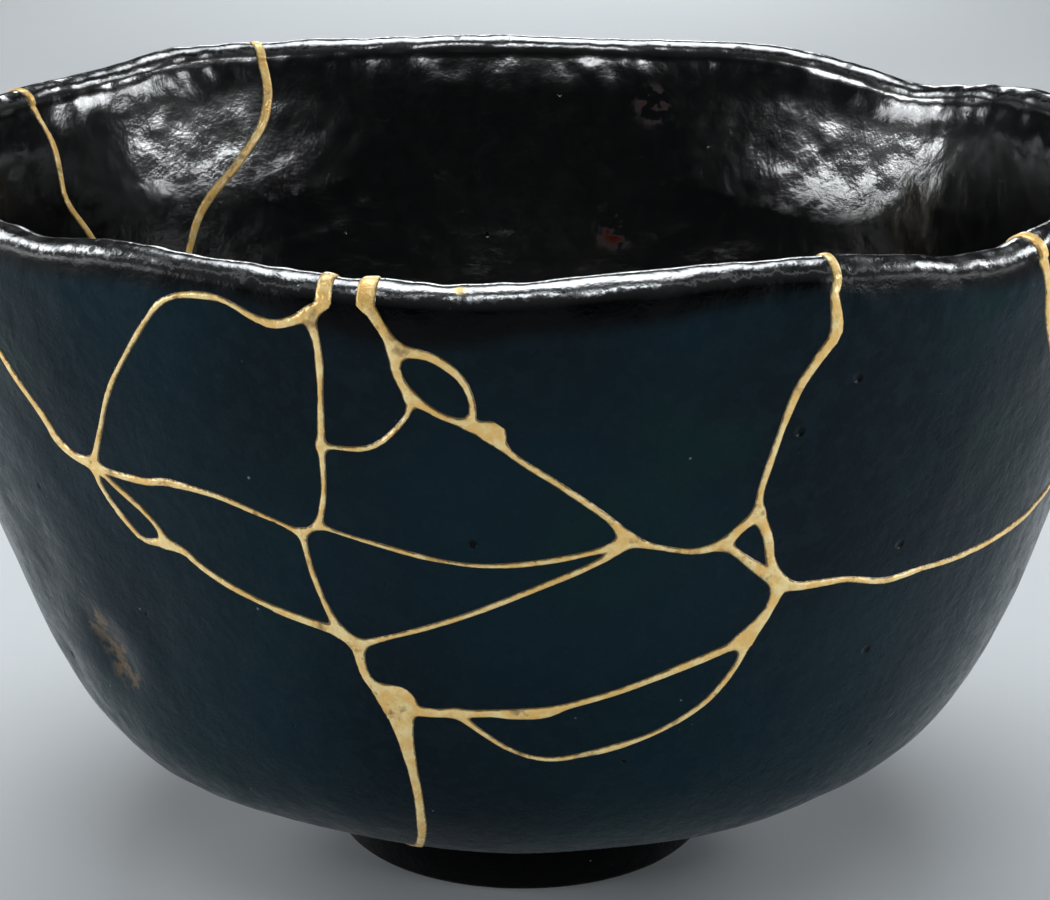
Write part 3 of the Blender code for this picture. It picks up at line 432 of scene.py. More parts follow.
def wall_curve(count):
    """Outer profile of the wall from the foot's corner to the height of the lip's top."""
    start = np.array([FOOT_RADIUS + FOOT_TAPER, FOOT_HEIGHT])
    end = np.array([RIM_RADIUS, BOWL_HEIGHT])
    reach_out = UNDERSIDE_FULLNESS * (end[0] - start[0])
    reach_up = WALL_FULLNESS * (end[1] - start[1])
    near_foot = start + reach_out * np.array([math.cos(UNDERSIDE_SLOPE),
                                              math.sin(UNDERSIDE_SLOPE)])
    near_rim = end - reach_up * np.array([math.sin(WALL_LEAN), math.cos(WALL_LEAN)])
    t = np.linspace(0.0, 1.0, count)[:, None]
    return ((1 - t) ** 3 * start + 3 * (1 - t) ** 2 * t * near_foot
            + 3 * (1 - t) * t ** 2 * near_rim + t ** 3 * end)


def cut_below_lip(wall):
    """The wall's profile up to the height where the lip starts."""
    top = BOWL_HEIGHT - LIP_ROUNDING
    kept = wall[wall[:, 1] < top]
    return np.vstack([kept, [np.interp(top, wall[:, 1], wall[:, 0]), top]])


def foot_curve():
    """Outer profile from the middle of the underside to the foot's corner."""
    bearing_inner = FOOT_RADIUS - FOOT_RING_WIDTH
    return np.array([
        (bearing_inner - FOOT_RECESS_SLOPE, FOOT_RECESS),
        (bearing_inner, 0.0),
        (FOOT_RADIUS - FOOT_CHAMFER, 0.0),
        (FOOT_RADIUS, FOOT_CHAMFER),
    ])


def cumulative_length(points):
    steps = np.linalg.norm(np.diff(points, axis=0), axis=1)
    return np.concatenate([[0.0], np.cumsum(steps)])


def lattice_noise(points, size, seed):
    """Smooth noise between -1 and 1, with waves of one size."""
    place = points / size
    corner = np.floor(place).astype(np.int64)
    part = place - corner
    part = part * part * (3 - 2 * part)
    total = np.zeros(points.shape[:-1])
    for step in np.ndindex(2, 2, 2):
        cell = (corner + np.array(step)) * CELL_PRIMES
        code = cell[..., 0] ^ cell[..., 1] ^ cell[..., 2] ^ seed * SEED_PRIME
        code = code & LOW_BITS
        for factor, shift in SCATTER:
            code = code * factor & LOW_BITS
            code = code ^ code >> shift
        value = code / 2 ** 31 - 1
        weight = np.where(step, part, 1 - part).prod(axis=-1)
        total += value * weight
    return total


def waves(points, pairs, seed):
    return sum(height * lattice_noise(points, size, seed + k)
               for k, (size, height) in enumerate(pairs))


def rolled(share, length, reach, steepness):
    """How far a wall bends near the lip, by the distance from the lip."""
    left = np.clip(reach - (1 - share) * length, 0.0, None)
    return steepness * left ** 2 / (2 * reach)


class Profile:
    """Outer and inner profile, both read by the radius on the disc."""

    def __init__(self):
        whole = wall_curve(WALL_SAMPLES)
        wall = cut_below_lip(whole)
        foot = foot_curve()
        length = cumulative_length(wall)
        self.wall_length = length[-1]
        self.whole_length = cumulative_length(whole)[-1]
        outer = np.vstack([foot, wall])
        steps = np.linalg.norm(np.diff(outer, axis=0), axis=1)
        mean_radius = (outer[1:, 0] + outer[:-1, 0]) / 2
        from_rim = np.cumsum((steps / mean_radius)[::-1])[::-1]
        disc = RIM_RADIUS * np.exp(-np.concatenate([from_rim, [0.0]]))
        self.disc = np.concatenate([[0.0], disc])
        bend = rolled(length / length[-1], length[-1], OUTER_ROLL_LENGTH, OUTER_ROLL)
        outer[len(foot):, 0] -= bend
        self.outer_r = np.concatenate([[0.0], outer[:, 0]])
        self.outer_z = np.concatenate([[FOOT_RECESS], outer[:, 1]])
        self.share = np.concatenate([np.zeros(len(foot) + 1), length / length[-1]])
        self.corner = len(foot) + 1
        self.corner_disc = self.disc[self.corner]
        self.rim_disc = self.disc[-1]
        self._set_normals(wall)
        self._set_inner(wall)

    def _set_normals(self, wall):
        out = -left_normals(wall)
        self.normal_r = np.concatenate([np.zeros(self.corner), out[:, 0]])
        self.normal_z = np.concatenate([-np.ones(self.corner), out[:, 1]])

    def _set_inner(self, wall):
        share = self.share[self.corner:]
        thickness = lerp(LIP_THICKNESS, FOOT_WALL_THICKNESS, (1 - share) ** THICKENING_POWER)
        across_r = self.normal_r[self.corner:]
        across_z = self.normal_z[self.corner:] * (1 - share ** LEVEL_LIP_POWER)
        size = np.hypot(across_r, across_z)
        bend = rolled(share, self.wall_length, INNER_ROLL_LENGTH, INNER_ROLL)
        inner_r = wall[:, 0] - thickness * across_r / size + bend
        inner_z = wall[:, 1] - thickness * across_z / size
        floor = FOOT_RECESS + BASE_THICKNESS
        inward = self.disc[:self.corner] / self.corner_disc
        self.inner_r = np.concatenate([inner_r[0] * inward, inner_r])
        dish = lerp(floor, inner_z[0], inward ** FLOOR_DISH_POWER)
        self.inner_z = np.concatenate([dish, inner_z])

    def read(self, name, disc):
        return np.interp(disc, self.disc, getattr(self, name))

    def scale(self, disc):
        """Size on the disc of one unit of length on the bowl's outside."""
        real = self.read("outer_r", np.maximum(disc, self.disc[1]))
        return np.maximum(disc, self.disc[1]) / real

    def disc_at_share(self, share):
        return np.interp(share, self.share[self.corner:], self.disc[self.corner:])

    def disc_at_mark(self, percent):
        """Disc radius at a mark's height, which stays below the lip."""
        share = np.asarray(percent) / 100 * self.whole_length / self.wall_length
        return self.disc_at_share(np.minimum(share, 1.0))


def periodic_value(points, azimuth):
    """Smooth closed curve through (azimuth, value) points."""
    known = np.array(sorted(points), dtype=float)
    angles = np.concatenate([known[-2:, 0] - 360, known[:, 0], known[:2, 0] + 360])
    values = np.concatenate([known[-2:, 1], known[:, 1], known[:2, 1]])
    turned = (np.asarray(azimuth, dtype=float) - angles[1]) % 360 + angles[1]
    index = np.clip(np.searchsorted(angles, turned, side="right") - 1, 1, len(angles) - 3)
    width = angles[index + 1] - angles[index]
    t = (turned - angles[index]) / width
    slope = (values[2:] - values[:-2]) / (angles[2:] - angles[:-2])
    first = slope[index - 1] * width
    last = slope[index] * width
    return ((2 * t ** 3 - 3 * t ** 2 + 1) * values[index] + (t ** 3 - 2 * t ** 2 + t) * first
            + (3 * t ** 2 - 2 * t ** 3) * values[index + 1] + (t ** 3 - t ** 2) * last)


def to_disc(azimuth, radius):
    angle = np.radians(azimuth)
    return np.stack([radius * np.sin(angle), -radius * np.cos(angle)], axis=-1)


def azimuth_of(points):
    return np.degrees(np.arctan2(points[..., 0], -points[..., 1]))


def at_height(flat, height):
    """Points seen from above, put at a height."""
    height = np.broadcast_to(height, flat.shape[:-1])
    return np.concatenate([flat, height[..., None]], axis=-1)


def ring(count, disc, turned=0.0):
    """Evenly spaced points round the disc."""
    return to_disc((np.arange(count) + turned) * 360.0 / count, disc)


def in_blocks(points, measure):
    """What a function says of each point, worked out a block of points at a time."""
    return np.concatenate([measure(points[k:k + BLOCK]) for k in range(0, len(points), BLOCK)])


class Bowl:
    """Surfaces of the hand-formed bowl above a point of the disc."""

    def __init__(self):
        self.profile = Profile()
        self.hollows = []
        self.hollows = [(self.place(azimuth, percent), radius * MM, depth * MM)
                        for azimuth, percent, radius, depth in HOLLOWS]

    def place(self, azimuth, percent, side="outer"):
        """Point of the bowl at a mark's azimuth and height."""
        disc = self.profile.disc_at_mark(percent)
        return self.surface(to_disc(np.array([azimuth]), disc), side)[0]

    def formed(self, radius, height, azimuth, share):
        """Turned point with the hand-formed plan and rim."""
        swell = sum(size * MM * np.cos(np.radians(lobes * (azimuth - crest)))
                    for lobes, size, crest in PLAN_WAVES)
        radius = radius + share * swell
        height = height + share ** RIM_RISE_POWER * periodic_value(RIM_RISE, azimuth) * MM
        return at_height(to_disc(azimuth, radius), height)

    def surface(self, points, side, raised=0.0):
        """Outer or inner surface above disc points, raised off the wall by a distance."""
        profile = self.profile
        disc = radius_of(points)
        azimuth = azimuth_of(points)
        share = profile.read("share", disc)
        out = 1.0 if side == "outer" else -1.0
        radius = profile.read(side + "_r", disc) + out * raised * profile.read("normal_r", disc)
        height = profile.read(side + "_z", disc) + out * raised * profile.read("normal_z", disc)
        placed = self.formed(radius, height, azimuth, share)
        if side == "outer":
            placed = self.pressed(placed, azimuth)
        return placed

    def pressed(self, placed, azimuth):
        """Outer surface with the pressed hollows."""
        inward = at_height(-to_disc(azimuth, 1.0), 0.0)
        for centre, radius, depth in self.hollows:
            distance = np.linalg.norm(placed - centre, axis=-1)
            placed = placed + inward * (depth * np.exp(-(distance / radius) ** 2))[..., None]
        return placed

    def uneven(self, points, side):
        """Height of the glaze's waves above the smooth wall at disc points."""
        placed = self.surface(points, side)
        disc = radius_of(points)
        share = self.profile.read("share", disc)
        if side == "inner":
            height = waves(placed, INSIDE_WAVES, INSIDE_SEED)
        else:
            away = (azimuth_of(points) - DENTED_SIDE + 180) % 360 - 180
            dented = np.exp(-(away / DENTED_SPREAD) ** 2) * (1 - share)
            height = waves(placed, OUTSIDE_WAVES, OUTSIDE_SEED)
            height = height * (1 + DENTED_EXTRA * dented)
        from_lip = (1 - share) * self.profile.wall_length
        near_lip = np.exp(-(from_lip / LIP_WAVES_REACH) ** 2)
        bearing = placed[..., 2] < FOOT_HEIGHT
        height = height + near_lip * waves(placed, LIP_WAVES, LIP_SEED)
        return np.where(bearing & (side == "outer"), 0.0, height)

    def bare(self, points):
        """How black the glaze is painted near the lip, for the dark reflection there, from 0 to
        1, at disc points.
        """
        disc = radius_of(points)
        from_lip = (1 - self.profile.read("share", disc)) * self.profile.wall_length
        azimuth = azimuth_of(points)
        middle = np.exp(-((azimuth - PAINTED_BAND_MIDDLE) / PAINTED_BAND_SPREAD) ** PAINTED_BAND_SPREAD_POWER)
        border = at_height(to_disc(azimuth, RIM_RADIUS), 0.0)
        waver = 1 + PAINTED_BAND_WAVER * lattice_noise(border, PAINTED_BAND_WAVER_SIZE, PAINTED_BAND_SEED)
        reach = lerp(PAINTED_BAND_LEAST, PAINTED_BAND_MOST, middle) * waver
        return np.clip((reach - from_lip) / PAINTED_BAND_EDGE + 0.5, 0.0, 1.0)

    def lip(self, outer, inner, raised=0.0):
        """Points over the lip between an outer and an inner point of the rim."""
        turn = np.linspace(0.0, math.pi, LIP_STEPS + 1)[1:-1, None]
        middle = (outer + inner) / 2
        half = (outer - inner) / 2
        across = half / np.linalg.norm(half)
        points = middle + half * np.cos(turn) + UP * LIP_ROUNDING * np.sin(turn)
        out = across * np.cos(turn) + UP * np.sin(turn)
        height = raised + waves(points, LIP_WAVES, LIP_SEED) * np.sin(turn[:, 0])
        return points + out * height[:, None]


class Break:
    """Centre line of one break on the disc, with the gold's width along it."""

    def __init__(self, profile, waypoints):
        table = np.array(waypoints, dtype=float)
        disc = profile.disc_at_mark(table[:, 1])
        knots = to_disc(table[:, 0], disc)
        self.points, self.width = self._smooth(profile, knots, table[:, 2] * MM)
        self.scale = profile.scale(radius_of(self.points))

    def _smooth(self, profile, knots, width):
        """Catmull-Rom curve through the waypoints with steps of even length."""
        padded = np.vstack([2 * knots[0] - knots[1], knots, 2 * knots[-1] - knots[-2]])
        points = []
        widths = []
        for i in range(len(knots) - 1):
            p0, p1, p2, p3 = padded[i:i + 4]
            scale = profile.scale(radius_of(p1))
            steps = max(2, int(np.linalg.norm(p2 - p1) / scale / OUTLINE_STEP))
            for t in np.arange(steps) / steps:
                points.append(0.5 * (2 * p1 + (p2 - p0) * t
                                     + (2 * p0 - 5 * p1 + 4 * p2 - p3) * t ** 2
                                     + (3 * p1 - p0 - 3 * p2 + p3) * t ** 3))
                widths.append(lerp(width[i], width[i + 1], t))
        points.append(knots[-1])
        widths.append(width[-1])
        return np.array(points), np.array(widths)

    def distances(self, points):
        """Distance on the bowl from each point to the gold's edge, below zero inside it."""
        keep = np.unique(np.append(np.arange(0, len(self.points), DISTANCE_STRIDE),
                                   len(self.points) - 1))
        line = self.points[keep]
        width = self.width[keep]
        scale = self.scale[keep]
        t, gap = along_segments(points, line)
        local_scale = lerp(scale[:-1], scale[1:], t)
        local_width = lerp(width[:-1], width[1:], t)
        return (gap / local_scale - local_width / 2).min(axis=1)

    def near(self, points):
        """Which points lie in the break's box, grown by the distance that matters."""
        grown = FAR * self.scale.max() + self.width.max()
        low = self.points.min(axis=0) - grown
        high = self.points.max(axis=0) + grown
        return np.all((points > low) & (points < high), axis=1)


class Seams:
    """All the breaks, and the distance from any point to the gold."""

    def __init__(self, profile):
        self.profile = profile
        self.breaks = {name: Break(profile, rows) for name, rows in BREAKS.items()}

    def distance(self, points):
        """Distance to the gold, rounded off by a fillet where breaks meet."""
        return in_blocks(points.reshape(-1, 2), self._distance).reshape(points.shape[:-1])

    def _distance(self, points):
        each = np.full((len(self.breaks), len(points)), FAR)
        for row, found in zip(each, self.breaks.values()):
            near = found.near(points)
            if near.any():
                row[near] = np.minimum(found.distances(points[near]), FAR)
        nearest = each.min(axis=0)
        blend = np.exp(-(each - nearest) / SEAM_FILLET).sum(axis=0)
        level = at_height(points, 0.0)
        waver = GOLD_WAVER * lattice_noise(level, GOLD_WAVER_SIZE, GOLD_WAVER_SEED)
        return nearest - SEAM_FILLET * np.log(blend) + waver


def inside(points, loop):
    """Which points lie inside a closed loop."""
    ax, ay = loop[:, 0], loop[:, 1]
    bx, by = np.roll(ax, -1), np.roll(ay, -1)
    rise = np.where(by == ay, 1.0, by - ay)

    def measure(some):
        x, y = some[:, 0][:, None], some[:, 1][:, None]
        crosses = (ay > y) != (by > y)
        at = ax + (y - ay) / rise * (bx - ax)
        return (np.sum(crosses & (x < at), axis=1) % 2) == 1

    return in_blocks(points, measure)


def rim_angles(start, end):
    """Even azimuths along the rim, strictly between two ends."""
    step = 360.0 / RIM_STEPS
    margin = CORNER_MARGIN * step
    first = math.ceil((start + margin) / step)
    last = math.floor((end - margin) / step)
    return [k * step for k in range(first, last + 1)]


def simplified(points, placed, tolerance):
    """Indices of an open line's points that keep its shape on the bowl."""
    keep = {0, len(points) - 1}
    stack = [(0, len(points) - 1)]
    while stack:
        a, b = stack.pop()
        if b <= a + 1:
            continue
        chord = placed[b] - placed[a]
        length = float(chord @ chord)
        offset = placed[a + 1:b] - placed[a]
        t = np.clip(offset @ chord / max(length, LEAST_SQUARE), 0.0, 1.0)
        away = np.linalg.norm(offset - t[:, None] * chord, axis=1)
        worst = int(away.argmax())
        if away[worst] > tolerance:
            middle = a + 1 + worst
            keep.add(middle)
            stack += [(a, middle), (middle, b)]
    return sorted(keep)


def crossing(line):
    """First pair of a line's segments that cross with the fewest points between them."""
    start, end = line[:-1], line[1:]
    along = end - start

    def side(points):
        offset = points[None] - start[:, None]
        return along[:, None, 0] * offset[..., 1] - along[:, None, 1] * offset[..., 0]

    apart = side(start) * side(end) < 0
    pairs = np.argwhere(np.triu(apart & apart.T, 2))
    if len(pairs) == 0:
        return None
    return pairs[(pairs[:, 1] - pairs[:, 0]).argmin()]


def without_loops(points, closed):
    """Line without the small knots where it crosses itself."""
    while True:
        line = np.vstack([points, points[:1]]) if closed else points
        found = crossing(line)
        if found is None:
            return points
        first, last = found
        if closed and last - first > len(points) / 2:
            points = points[first + 1:last + 1]
        else:
            points = np.delete(points, np.arange(first + 1, last + 1), axis=0)


class Outline:
    """Broken edge of one sherd on the disc, anticlockwise."""

    def __init__(self, bowl, seams, names):
        self.bowl = bowl
        self.seams = seams
        self.rim = bowl.profile.rim_disc
        centre = self._centre_line(names)
        ends = radius_of(centre[[0, -1]])
        self.has_rim = bool(np.all(ends > self.rim * (1 - ROUNDING)))
        if self.has_rim:
            self._rim_outline(centre)
        else:
            self._closed_outline(centre)

    def _centre_line(self, names):
        lines = []
        widths = []
        for name in names:
            found = self.seams.breaks[name.lstrip("-")]
            way = -1 if name.startswith("-") else 1
            skip = 1 if lines else 0
            lines.append(found.points[::way][skip:])
            widths.append(found.width[::way][skip:])
        self.centre_width = np.concatenate(widths)
        return np.vstack(lines)

    def _receded(self, centre, region):
        """Edge points one joint gap away from the gold, on the sherd's side."""
        normal = left_normals(centre)
        scale = self.bowl.profile.scale(radius_of(centre))
        reach = np.arange(0.0, EDGE_REACH, EDGE_PROBE)
        rays = centre[:, None] + normal[:, None] * (reach[None, :] * scale[:, None])[..., None]
        excess = self.seams.distance(rays) - JOINT_GAP
        clear = excess > 0
        first = np.argmax(clear, axis=1)
        rows = np.nonzero(clear.any(axis=1) & (first > 0))[0]
        k = first[rows]
        low, high = excess[rows, k - 1], excess[rows, k]
        t = (-low / (high - low))[:, None]
        edge = lerp(rays[rows, k - 1], rays[rows, k], t)
        kept = inside(edge, region)
        return self._in_order(edge[kept], rows[kept], centre, scale)

    def _in_order(self, edge, rows, centre, scale):
        """Edge points sorted along the centre line, without those from round a corner."""
        t, away = along_segments(edge, centre)
        away = away / scale[:-1] - self.centre_width[:-1] / 2
        nearest = away.argmin(axis=1)
        place = nearest + t[np.arange(len(edge)), nearest]
        if not self.has_rim:
            count = len(centre) - 1
            place = rows + (place - rows + count / 2) % count - count / 2
        near = np.abs(place - rows) < EDGE_ORDER_SPREAD
        edge, rows, place = edge[near], rows[near], place[near]
        order = np.lexsort((rows, np.round(place, EDGE_ORDER_DECIMALS)))
        edge = edge[order]
        kept = [edge[0]]
        for point in edge[1:]:
            if np.linalg.norm(point - kept[-1]) > EDGE_SPACING:
                kept.append(point)
        return without_loops(np.array(kept), not self.has_rim)

    def _closed_outline(self, centre):
        loop = centre[:-1]
        edge = self._receded(centre, loop)
        far = int(np.linalg.norm(edge - edge[0], axis=1).argmax())
        first = self._reduced(edge[:far + 1])
        second = self._reduced(np.vstack([edge[far:], edge[:1]]))
        self.points = np.vstack([first[:-1], second[:-1]])
        self.rim_count = 0

    def _reduced(self, edge):
        placed = self.bowl.surface(edge, "outer")
        return edge[simplified(edge, placed, OUTLINE_TOLERANCE)]

    def _corner(self, azimuth, way):
        """Azimuth on the rim where the sherd's edge meets it."""
        steps = azimuth + way * np.arange(0.0, CORNER_REACH, CORNER_PROBE)
        excess = self.seams.distance(to_disc(steps, self.rim)) - JOINT_GAP
        k = int(np.argmax(excess > 0))
        t = -excess[k - 1] / (excess[k] - excess[k - 1])
        return lerp(steps[k - 1], steps[k], t)

    def _rim_outline(self, centre):
        end = float(azimuth_of(centre[0]))
        start = float(azimuth_of(centre[-1]))
        if end < start:
            end += 360.0
        first = self._corner(start, 1)
        last = self._corner(end, -1)
        angles = [first] + rim_angles(first, last) + [last]
        rim = to_disc(np.array(angles), self.rim)
        clearance = EDGE_RIM_CLEARANCE * self.bowl.profile.scale(self.rim)
        border = to_disc(np.linspace(start, end, BORDER_SAMPLES)[1:-1], self.rim + clearance)
        edge = self._receded(centre, np.vstack([centre, border]))
        edge = edge[radius_of(edge) < self.rim - clearance]
        edge = self._reduced(np.vstack([rim[-1:], edge, rim[:1]]))
        self.points = np.vstack([rim, edge[1:-1]])
        self.rim_count = len(rim)


def shifted_outwards(outline, profile):
    """Edge points moved off the sherd by the joint gap: the gold's own edge."""
    loop = outline.points
    after = np.roll(loop, -1, axis=0) - loop
    out_after = np.stack([after[:, 1], -after[:, 0]], axis=1)
    out_after /= np.linalg.norm(out_after, axis=1)[:, None]
    out_before = np.roll(out_after, 1, axis=0)
    spread = np.maximum(1 + (out_before * out_after).sum(axis=1), MITRE_LIMIT)
    shift = (out_before + out_after) / spread[:, None]
    radius = radius_of(loop)
    shift *= (JOINT_GAP * profile.scale(radius))[:, None]
    moved = loop + shift
    if outline.rim_count:
        last = outline.rim_count - 1
        for index, way, normal in ((0, -1, out_before[0]), (last, 1, out_after[last])):
            tangent = way * np.array([-loop[index, 1], loop[index, 0]]) / radius[index]
            lean = max(float(normal @ tangent), MITRE_LIMIT)
            turned = loop[index] + tangent * JOINT_GAP * profile.scale(radius[index]) / lean
            moved[index] = turned * radius[index] / np.hypot(*turned)
    return moved


class DiscMesh:
    """Triangles of the disc, each belonging to a sherd or to the gold."""

    def __init__(self, bowl, seams, outlines):
        self.bowl = bowl
        self.seams = seams
        self.points = []
        self.edges = []
        self.gold_points = {}
        self.rim_points = set()
        self.loops = {}
        for name, outline in outlines.items():
            self._add_outline(name, outline)
        self._add_rim_mouths()
        self._add_foot_rings()
        self._add_grid()
        self._add_gold_lines()
        self._triangulate()

    def _add_loop(self, points):
        """Add a closed loop of points with its edges, and say which number it starts at."""
        first = len(self.points)
        count = len(points)
        self.points += list(points)
        self.edges += [(first + k, first + (k + 1) % count) for k in range(count)]
        return first

    def _add_outline(self, name, outline):
        first = self._add_loop(outline.points)
        self.loops[name] = outline.points
        self.rim_points |= set(range(first, first + outline.rim_count))
        moved = shifted_outwards(outline, self.bowl.profile)
        self.gold_points.update({first + k: point for k, point in enumerate(moved)})

    def _add_rim_mouths(self):
        """Rim edges across each seam, between the corners of two sherds."""
        angle = {k: float(azimuth_of(self.points[k])) for k in self.rim_points}
        rim = sorted(self.rim_points, key=angle.get)
        joined = {frozenset(edge) for edge in self.edges}
        for a, b in zip(rim, rim[1:] + rim[:1]):
            if frozenset((a, b)) in joined:
                continue
            wide = math.radians((angle[b] - angle[a]) % 360) * RIM_RADIUS
            steps = max(2, round(wide / MOUTH_STEP))
            turn = angle[a] + (angle[b] - angle[a]) % 360 * np.arange(1, steps) / steps
            first = len(self.points)
            self.points += list(to_disc(turn, self.bowl.profile.rim_disc))
            chain = [a] + list(range(first, len(self.points))) + [b]
            self.rim_points |= set(chain)
            self.edges += list(zip(chain, chain[1:]))

    def _add_foot_rings(self):
        profile = self.bowl.profile
        for disc in profile.disc[1:profile.corner + 1]:
            self._add_loop(ring(FOOT_SIDES, disc))
        self.points.append(np.zeros(2))
        for k in range(1, FLOOR_RINGS):
            around = FOOT_SIDES * k // FLOOR_RINGS
            self.points += list(ring(around, profile.disc[1] * k / FLOOR_RINGS))

    def _add_grid(self):
        """Even rows of points on the wall, away from the broken edges."""
        profile = self.bowl.profile
        rows = round(profile.wall_length / GRID_STEP)
        grid = []
        for row in range(1, rows):
            disc = profile.disc_at_share(row / rows)
            around = round(2 * math.pi * profile.read("outer_r", disc) / GRID_STEP)
            grid.append(ring(max(around, FOOT_SIDES), disc, 0.5 * (row % 2)))
        grid = np.vstack(grid)
        clear = self.seams.distance(grid) > JOINT_GAP + GRID_CLEARANCE
        self.points += list(grid[clear])

    def _add_gold_lines(self):
        """Points along the gold, in lines beside each break's centre line."""
        profile = self.bowl.profile
        stride = max(1, round(GOLD_STEP / OUTLINE_STEP))
        lines = []
        for found in self.seams.breaks.values():
            centre = found.points[::stride]
            normal = left_normals(centre)
            half = found.width[::stride] * found.scale[::stride] / 2
            for share in GOLD_LINES:
                lines.append(centre + normal * (half * share)[:, None])
        points = np.vstack(lines)
        radius = radius_of(points)
        scale = profile.scale(radius)
        depth = self.seams.distance(points)
        kept = depth < JOINT_GAP - GOLD_LINE_INSET
        kept &= radius < profile.rim_disc - GOLD_RIM_INSET * scale
        points = thinned(points[kept], scale[kept] * GOLD_LINE_SPACING)
        self.points += list(points)

    def _triangulate(self):
        unit = 1 / MM
        flat = [Vector((float(p[0] * unit), float(p[1] * unit))) for p in self.points]
        result = delaunay_2d_cdt(flat, self.edges, [], 0, ROUNDING, True)
        origin = [ids[0] for ids in result[3]]
        self.triangles = np.array([[origin[k] for k in face] for face in result[2]])
        self.points = np.array(self.points)
        centres = self.points[self.triangles].mean(axis=1)
        self.owner = np.array([GOLD_NAME] * len(self.triangles), dtype=object)
        for name, loop in self.loops.items():
            boxed = (centres > loop.min(axis=0)) & (centres < loop.max(axis=0))
            rows = np.nonzero(boxed.all(axis=1))[0]
            self.owner[rows[inside(centres[rows], loop)]] = name


def thinned(points, spacing):
    """Points without those closer than the spacing to an earlier one."""
    tree = KDTree(len(points))
    places = at_height(points, 0.0)
    for k, place in enumerate(places):
        tree.insert(place, k)
    tree.balance()
    dropped = set()
    for k, place in enumerate(places):
        if k not in dropped:
            near = tree.find_range(place, spacing[k])
            dropped |= {other for _, other, _ in near if other > k}
    return np.delete(points, sorted(dropped), axis=0)


def boundary_edges(triangles):
    """Directed edges with a triangle on their left only."""
    directed = {(int(t[k]), int(t[(k + 1) % 3])) for t in triangles for k in range(3)}
    return [edge for edge in directed if (edge[1], edge[0]) not in directed]


def bead(depth):
    """Height of the gold above the glaze, by the distance inside its edge."""
    near = np.clip(1 - depth / GOLD_SHOULDER, 0.0, 1.0)
    return (GOLD_SUNK + GOLD_CROWN) * np.sqrt(1 - near ** 2) - GOLD_SUNK


class Solid:
    """Vertices and faces of one piece, with what its material reads at each vertex."""

    def __init__(self, mesh, name):
        self.mesh = mesh
        self.bowl = mesh.bowl
        self.gold = name == GOLD_NAME
        self.verts = []
        self.faces = []
        self.layers = {"inward": [], "depth": [], "bare": []}
        triangles = mesh.triangles[mesh.owner == name]
        self.used = np.unique(triangles)
        self._lift()
        at = np.full(len(mesh.points), -1)
        at[self.used] = np.arange(len(self.used))
        self.low = at
        self.high = at + len(self.used)
        self.faces += [tuple(face) for face in self.low[triangles[:, ::-1]].tolist()]
        self.faces += [tuple(face) for face in self.high[triangles].tolist()]
        self._close(boundary_edges(triangles))

    def _add(self, verts, **layers):
        self.verts.append(verts)
        for label, values in layers.items():
            self.layers[label].append(np.broadcast_to(values, len(verts)))

    def _lift(self):
        mesh = self.mesh
        flat = mesh.points[self.used].copy()
        raised = np.zeros(len(flat))
        depth = np.zeros(len(flat))
        if self.gold:
            for row, k in enumerate(self.used):
                if int(k) in mesh.gold_points:
                    flat[row] = mesh.gold_points[int(k)]
            depth = np.maximum(-mesh.seams.distance(flat), 0.0)
            lumps = GOLD_LUMPS * lattice_noise(self.bowl.surface(flat, "outer"),
                                               GOLD_LUMP_SIZE, GOLD_LUMP_SEED)
            raised = bead(depth) + lumps * np.minimum(depth / GOLD_SHOULDER, 1.0)
        self.raised = raised
        for side, inward in (("outer", 0.0), ("inner", 1.0)):
            height = raised + self.bowl.uneven(flat, side)
            self._add(self.bowl.surface(flat, side, height), inward=inward, depth=depth,
                      bare=self.bowl.bare(flat))
        self.outer, self.inner = self.verts

    def _close(self, border):
        rim_points = self.mesh.rim_points
        rim = [edge for edge in border if edge[0] in rim_points and edge[1] in rim_points]
        rim_edges = set(rim)
        low, high = self.low, self.high
        for a, b in border:
            if (a, b) not in rim_edges:
                self.faces.append((high[b], high[a], low[a], low[b]))
        self._add_lip(rim)

    def _add_lip(self, rim):
        """Rounded lip over the rim edges, with a flat end at each broken edge."""
        over = {}
        first = 2 * len(self.used)
        for k in sorted({k for edge in rim for k in edge}):
            row = self.low[k]
            points = self.bowl.lip(self.outer[row], self.inner[row], self.raised[row])
            self._add(points, inward=np.linspace(0.0, 1.0, LIP_STEPS + 1)[1:-1],
                      depth=self.layers["depth"][0][row], bare=1.0)
            over[k] = list(range(first, first + len(points)))
            first += len(points)
        low, high = self.low, self.high
        for a, b in rim:
            line_a = [low[a]] + over[a] + [high[a]]
            line_b = [low[b]] + over[b] + [high[b]]
            for k in range(len(line_a) - 1):
                self.faces.append((line_b[k + 1], line_a[k + 1], line_a[k], line_b[k]))
        starts = {a for a, b in rim}
        ends = {b for a, b in rim}
        for k in starts - ends:
            self.faces.append([low[k]] + over[k] + [high[k]])
        for k in ends - starts:
            self.faces.append([high[k]] + over[k][::-1] + [low[k]])

    def made(self, name, finish):
        data = bpy.data.meshes.new(name)
        verts = np.vstack(self.verts)
        faces = [tuple(int(k) for k in face) for face in self.faces]
        data.from_pydata(verts.tolist(), [], faces)
        for label, values in self.layers.items():
            layer = data.attributes.new(label, "FLOAT", "POINT")
            layer.data.foreach_set("value", np.concatenate(values).astype(np.float32))
        data.materials.append(finish)
        data.shade_smooth()
        data.set_sharp_from_angle(angle=SHARP_ANGLE)
        piece = bpy.data.objects.new(name, data)
        bpy.context.scene.collection.objects.link(piece)
        return piece


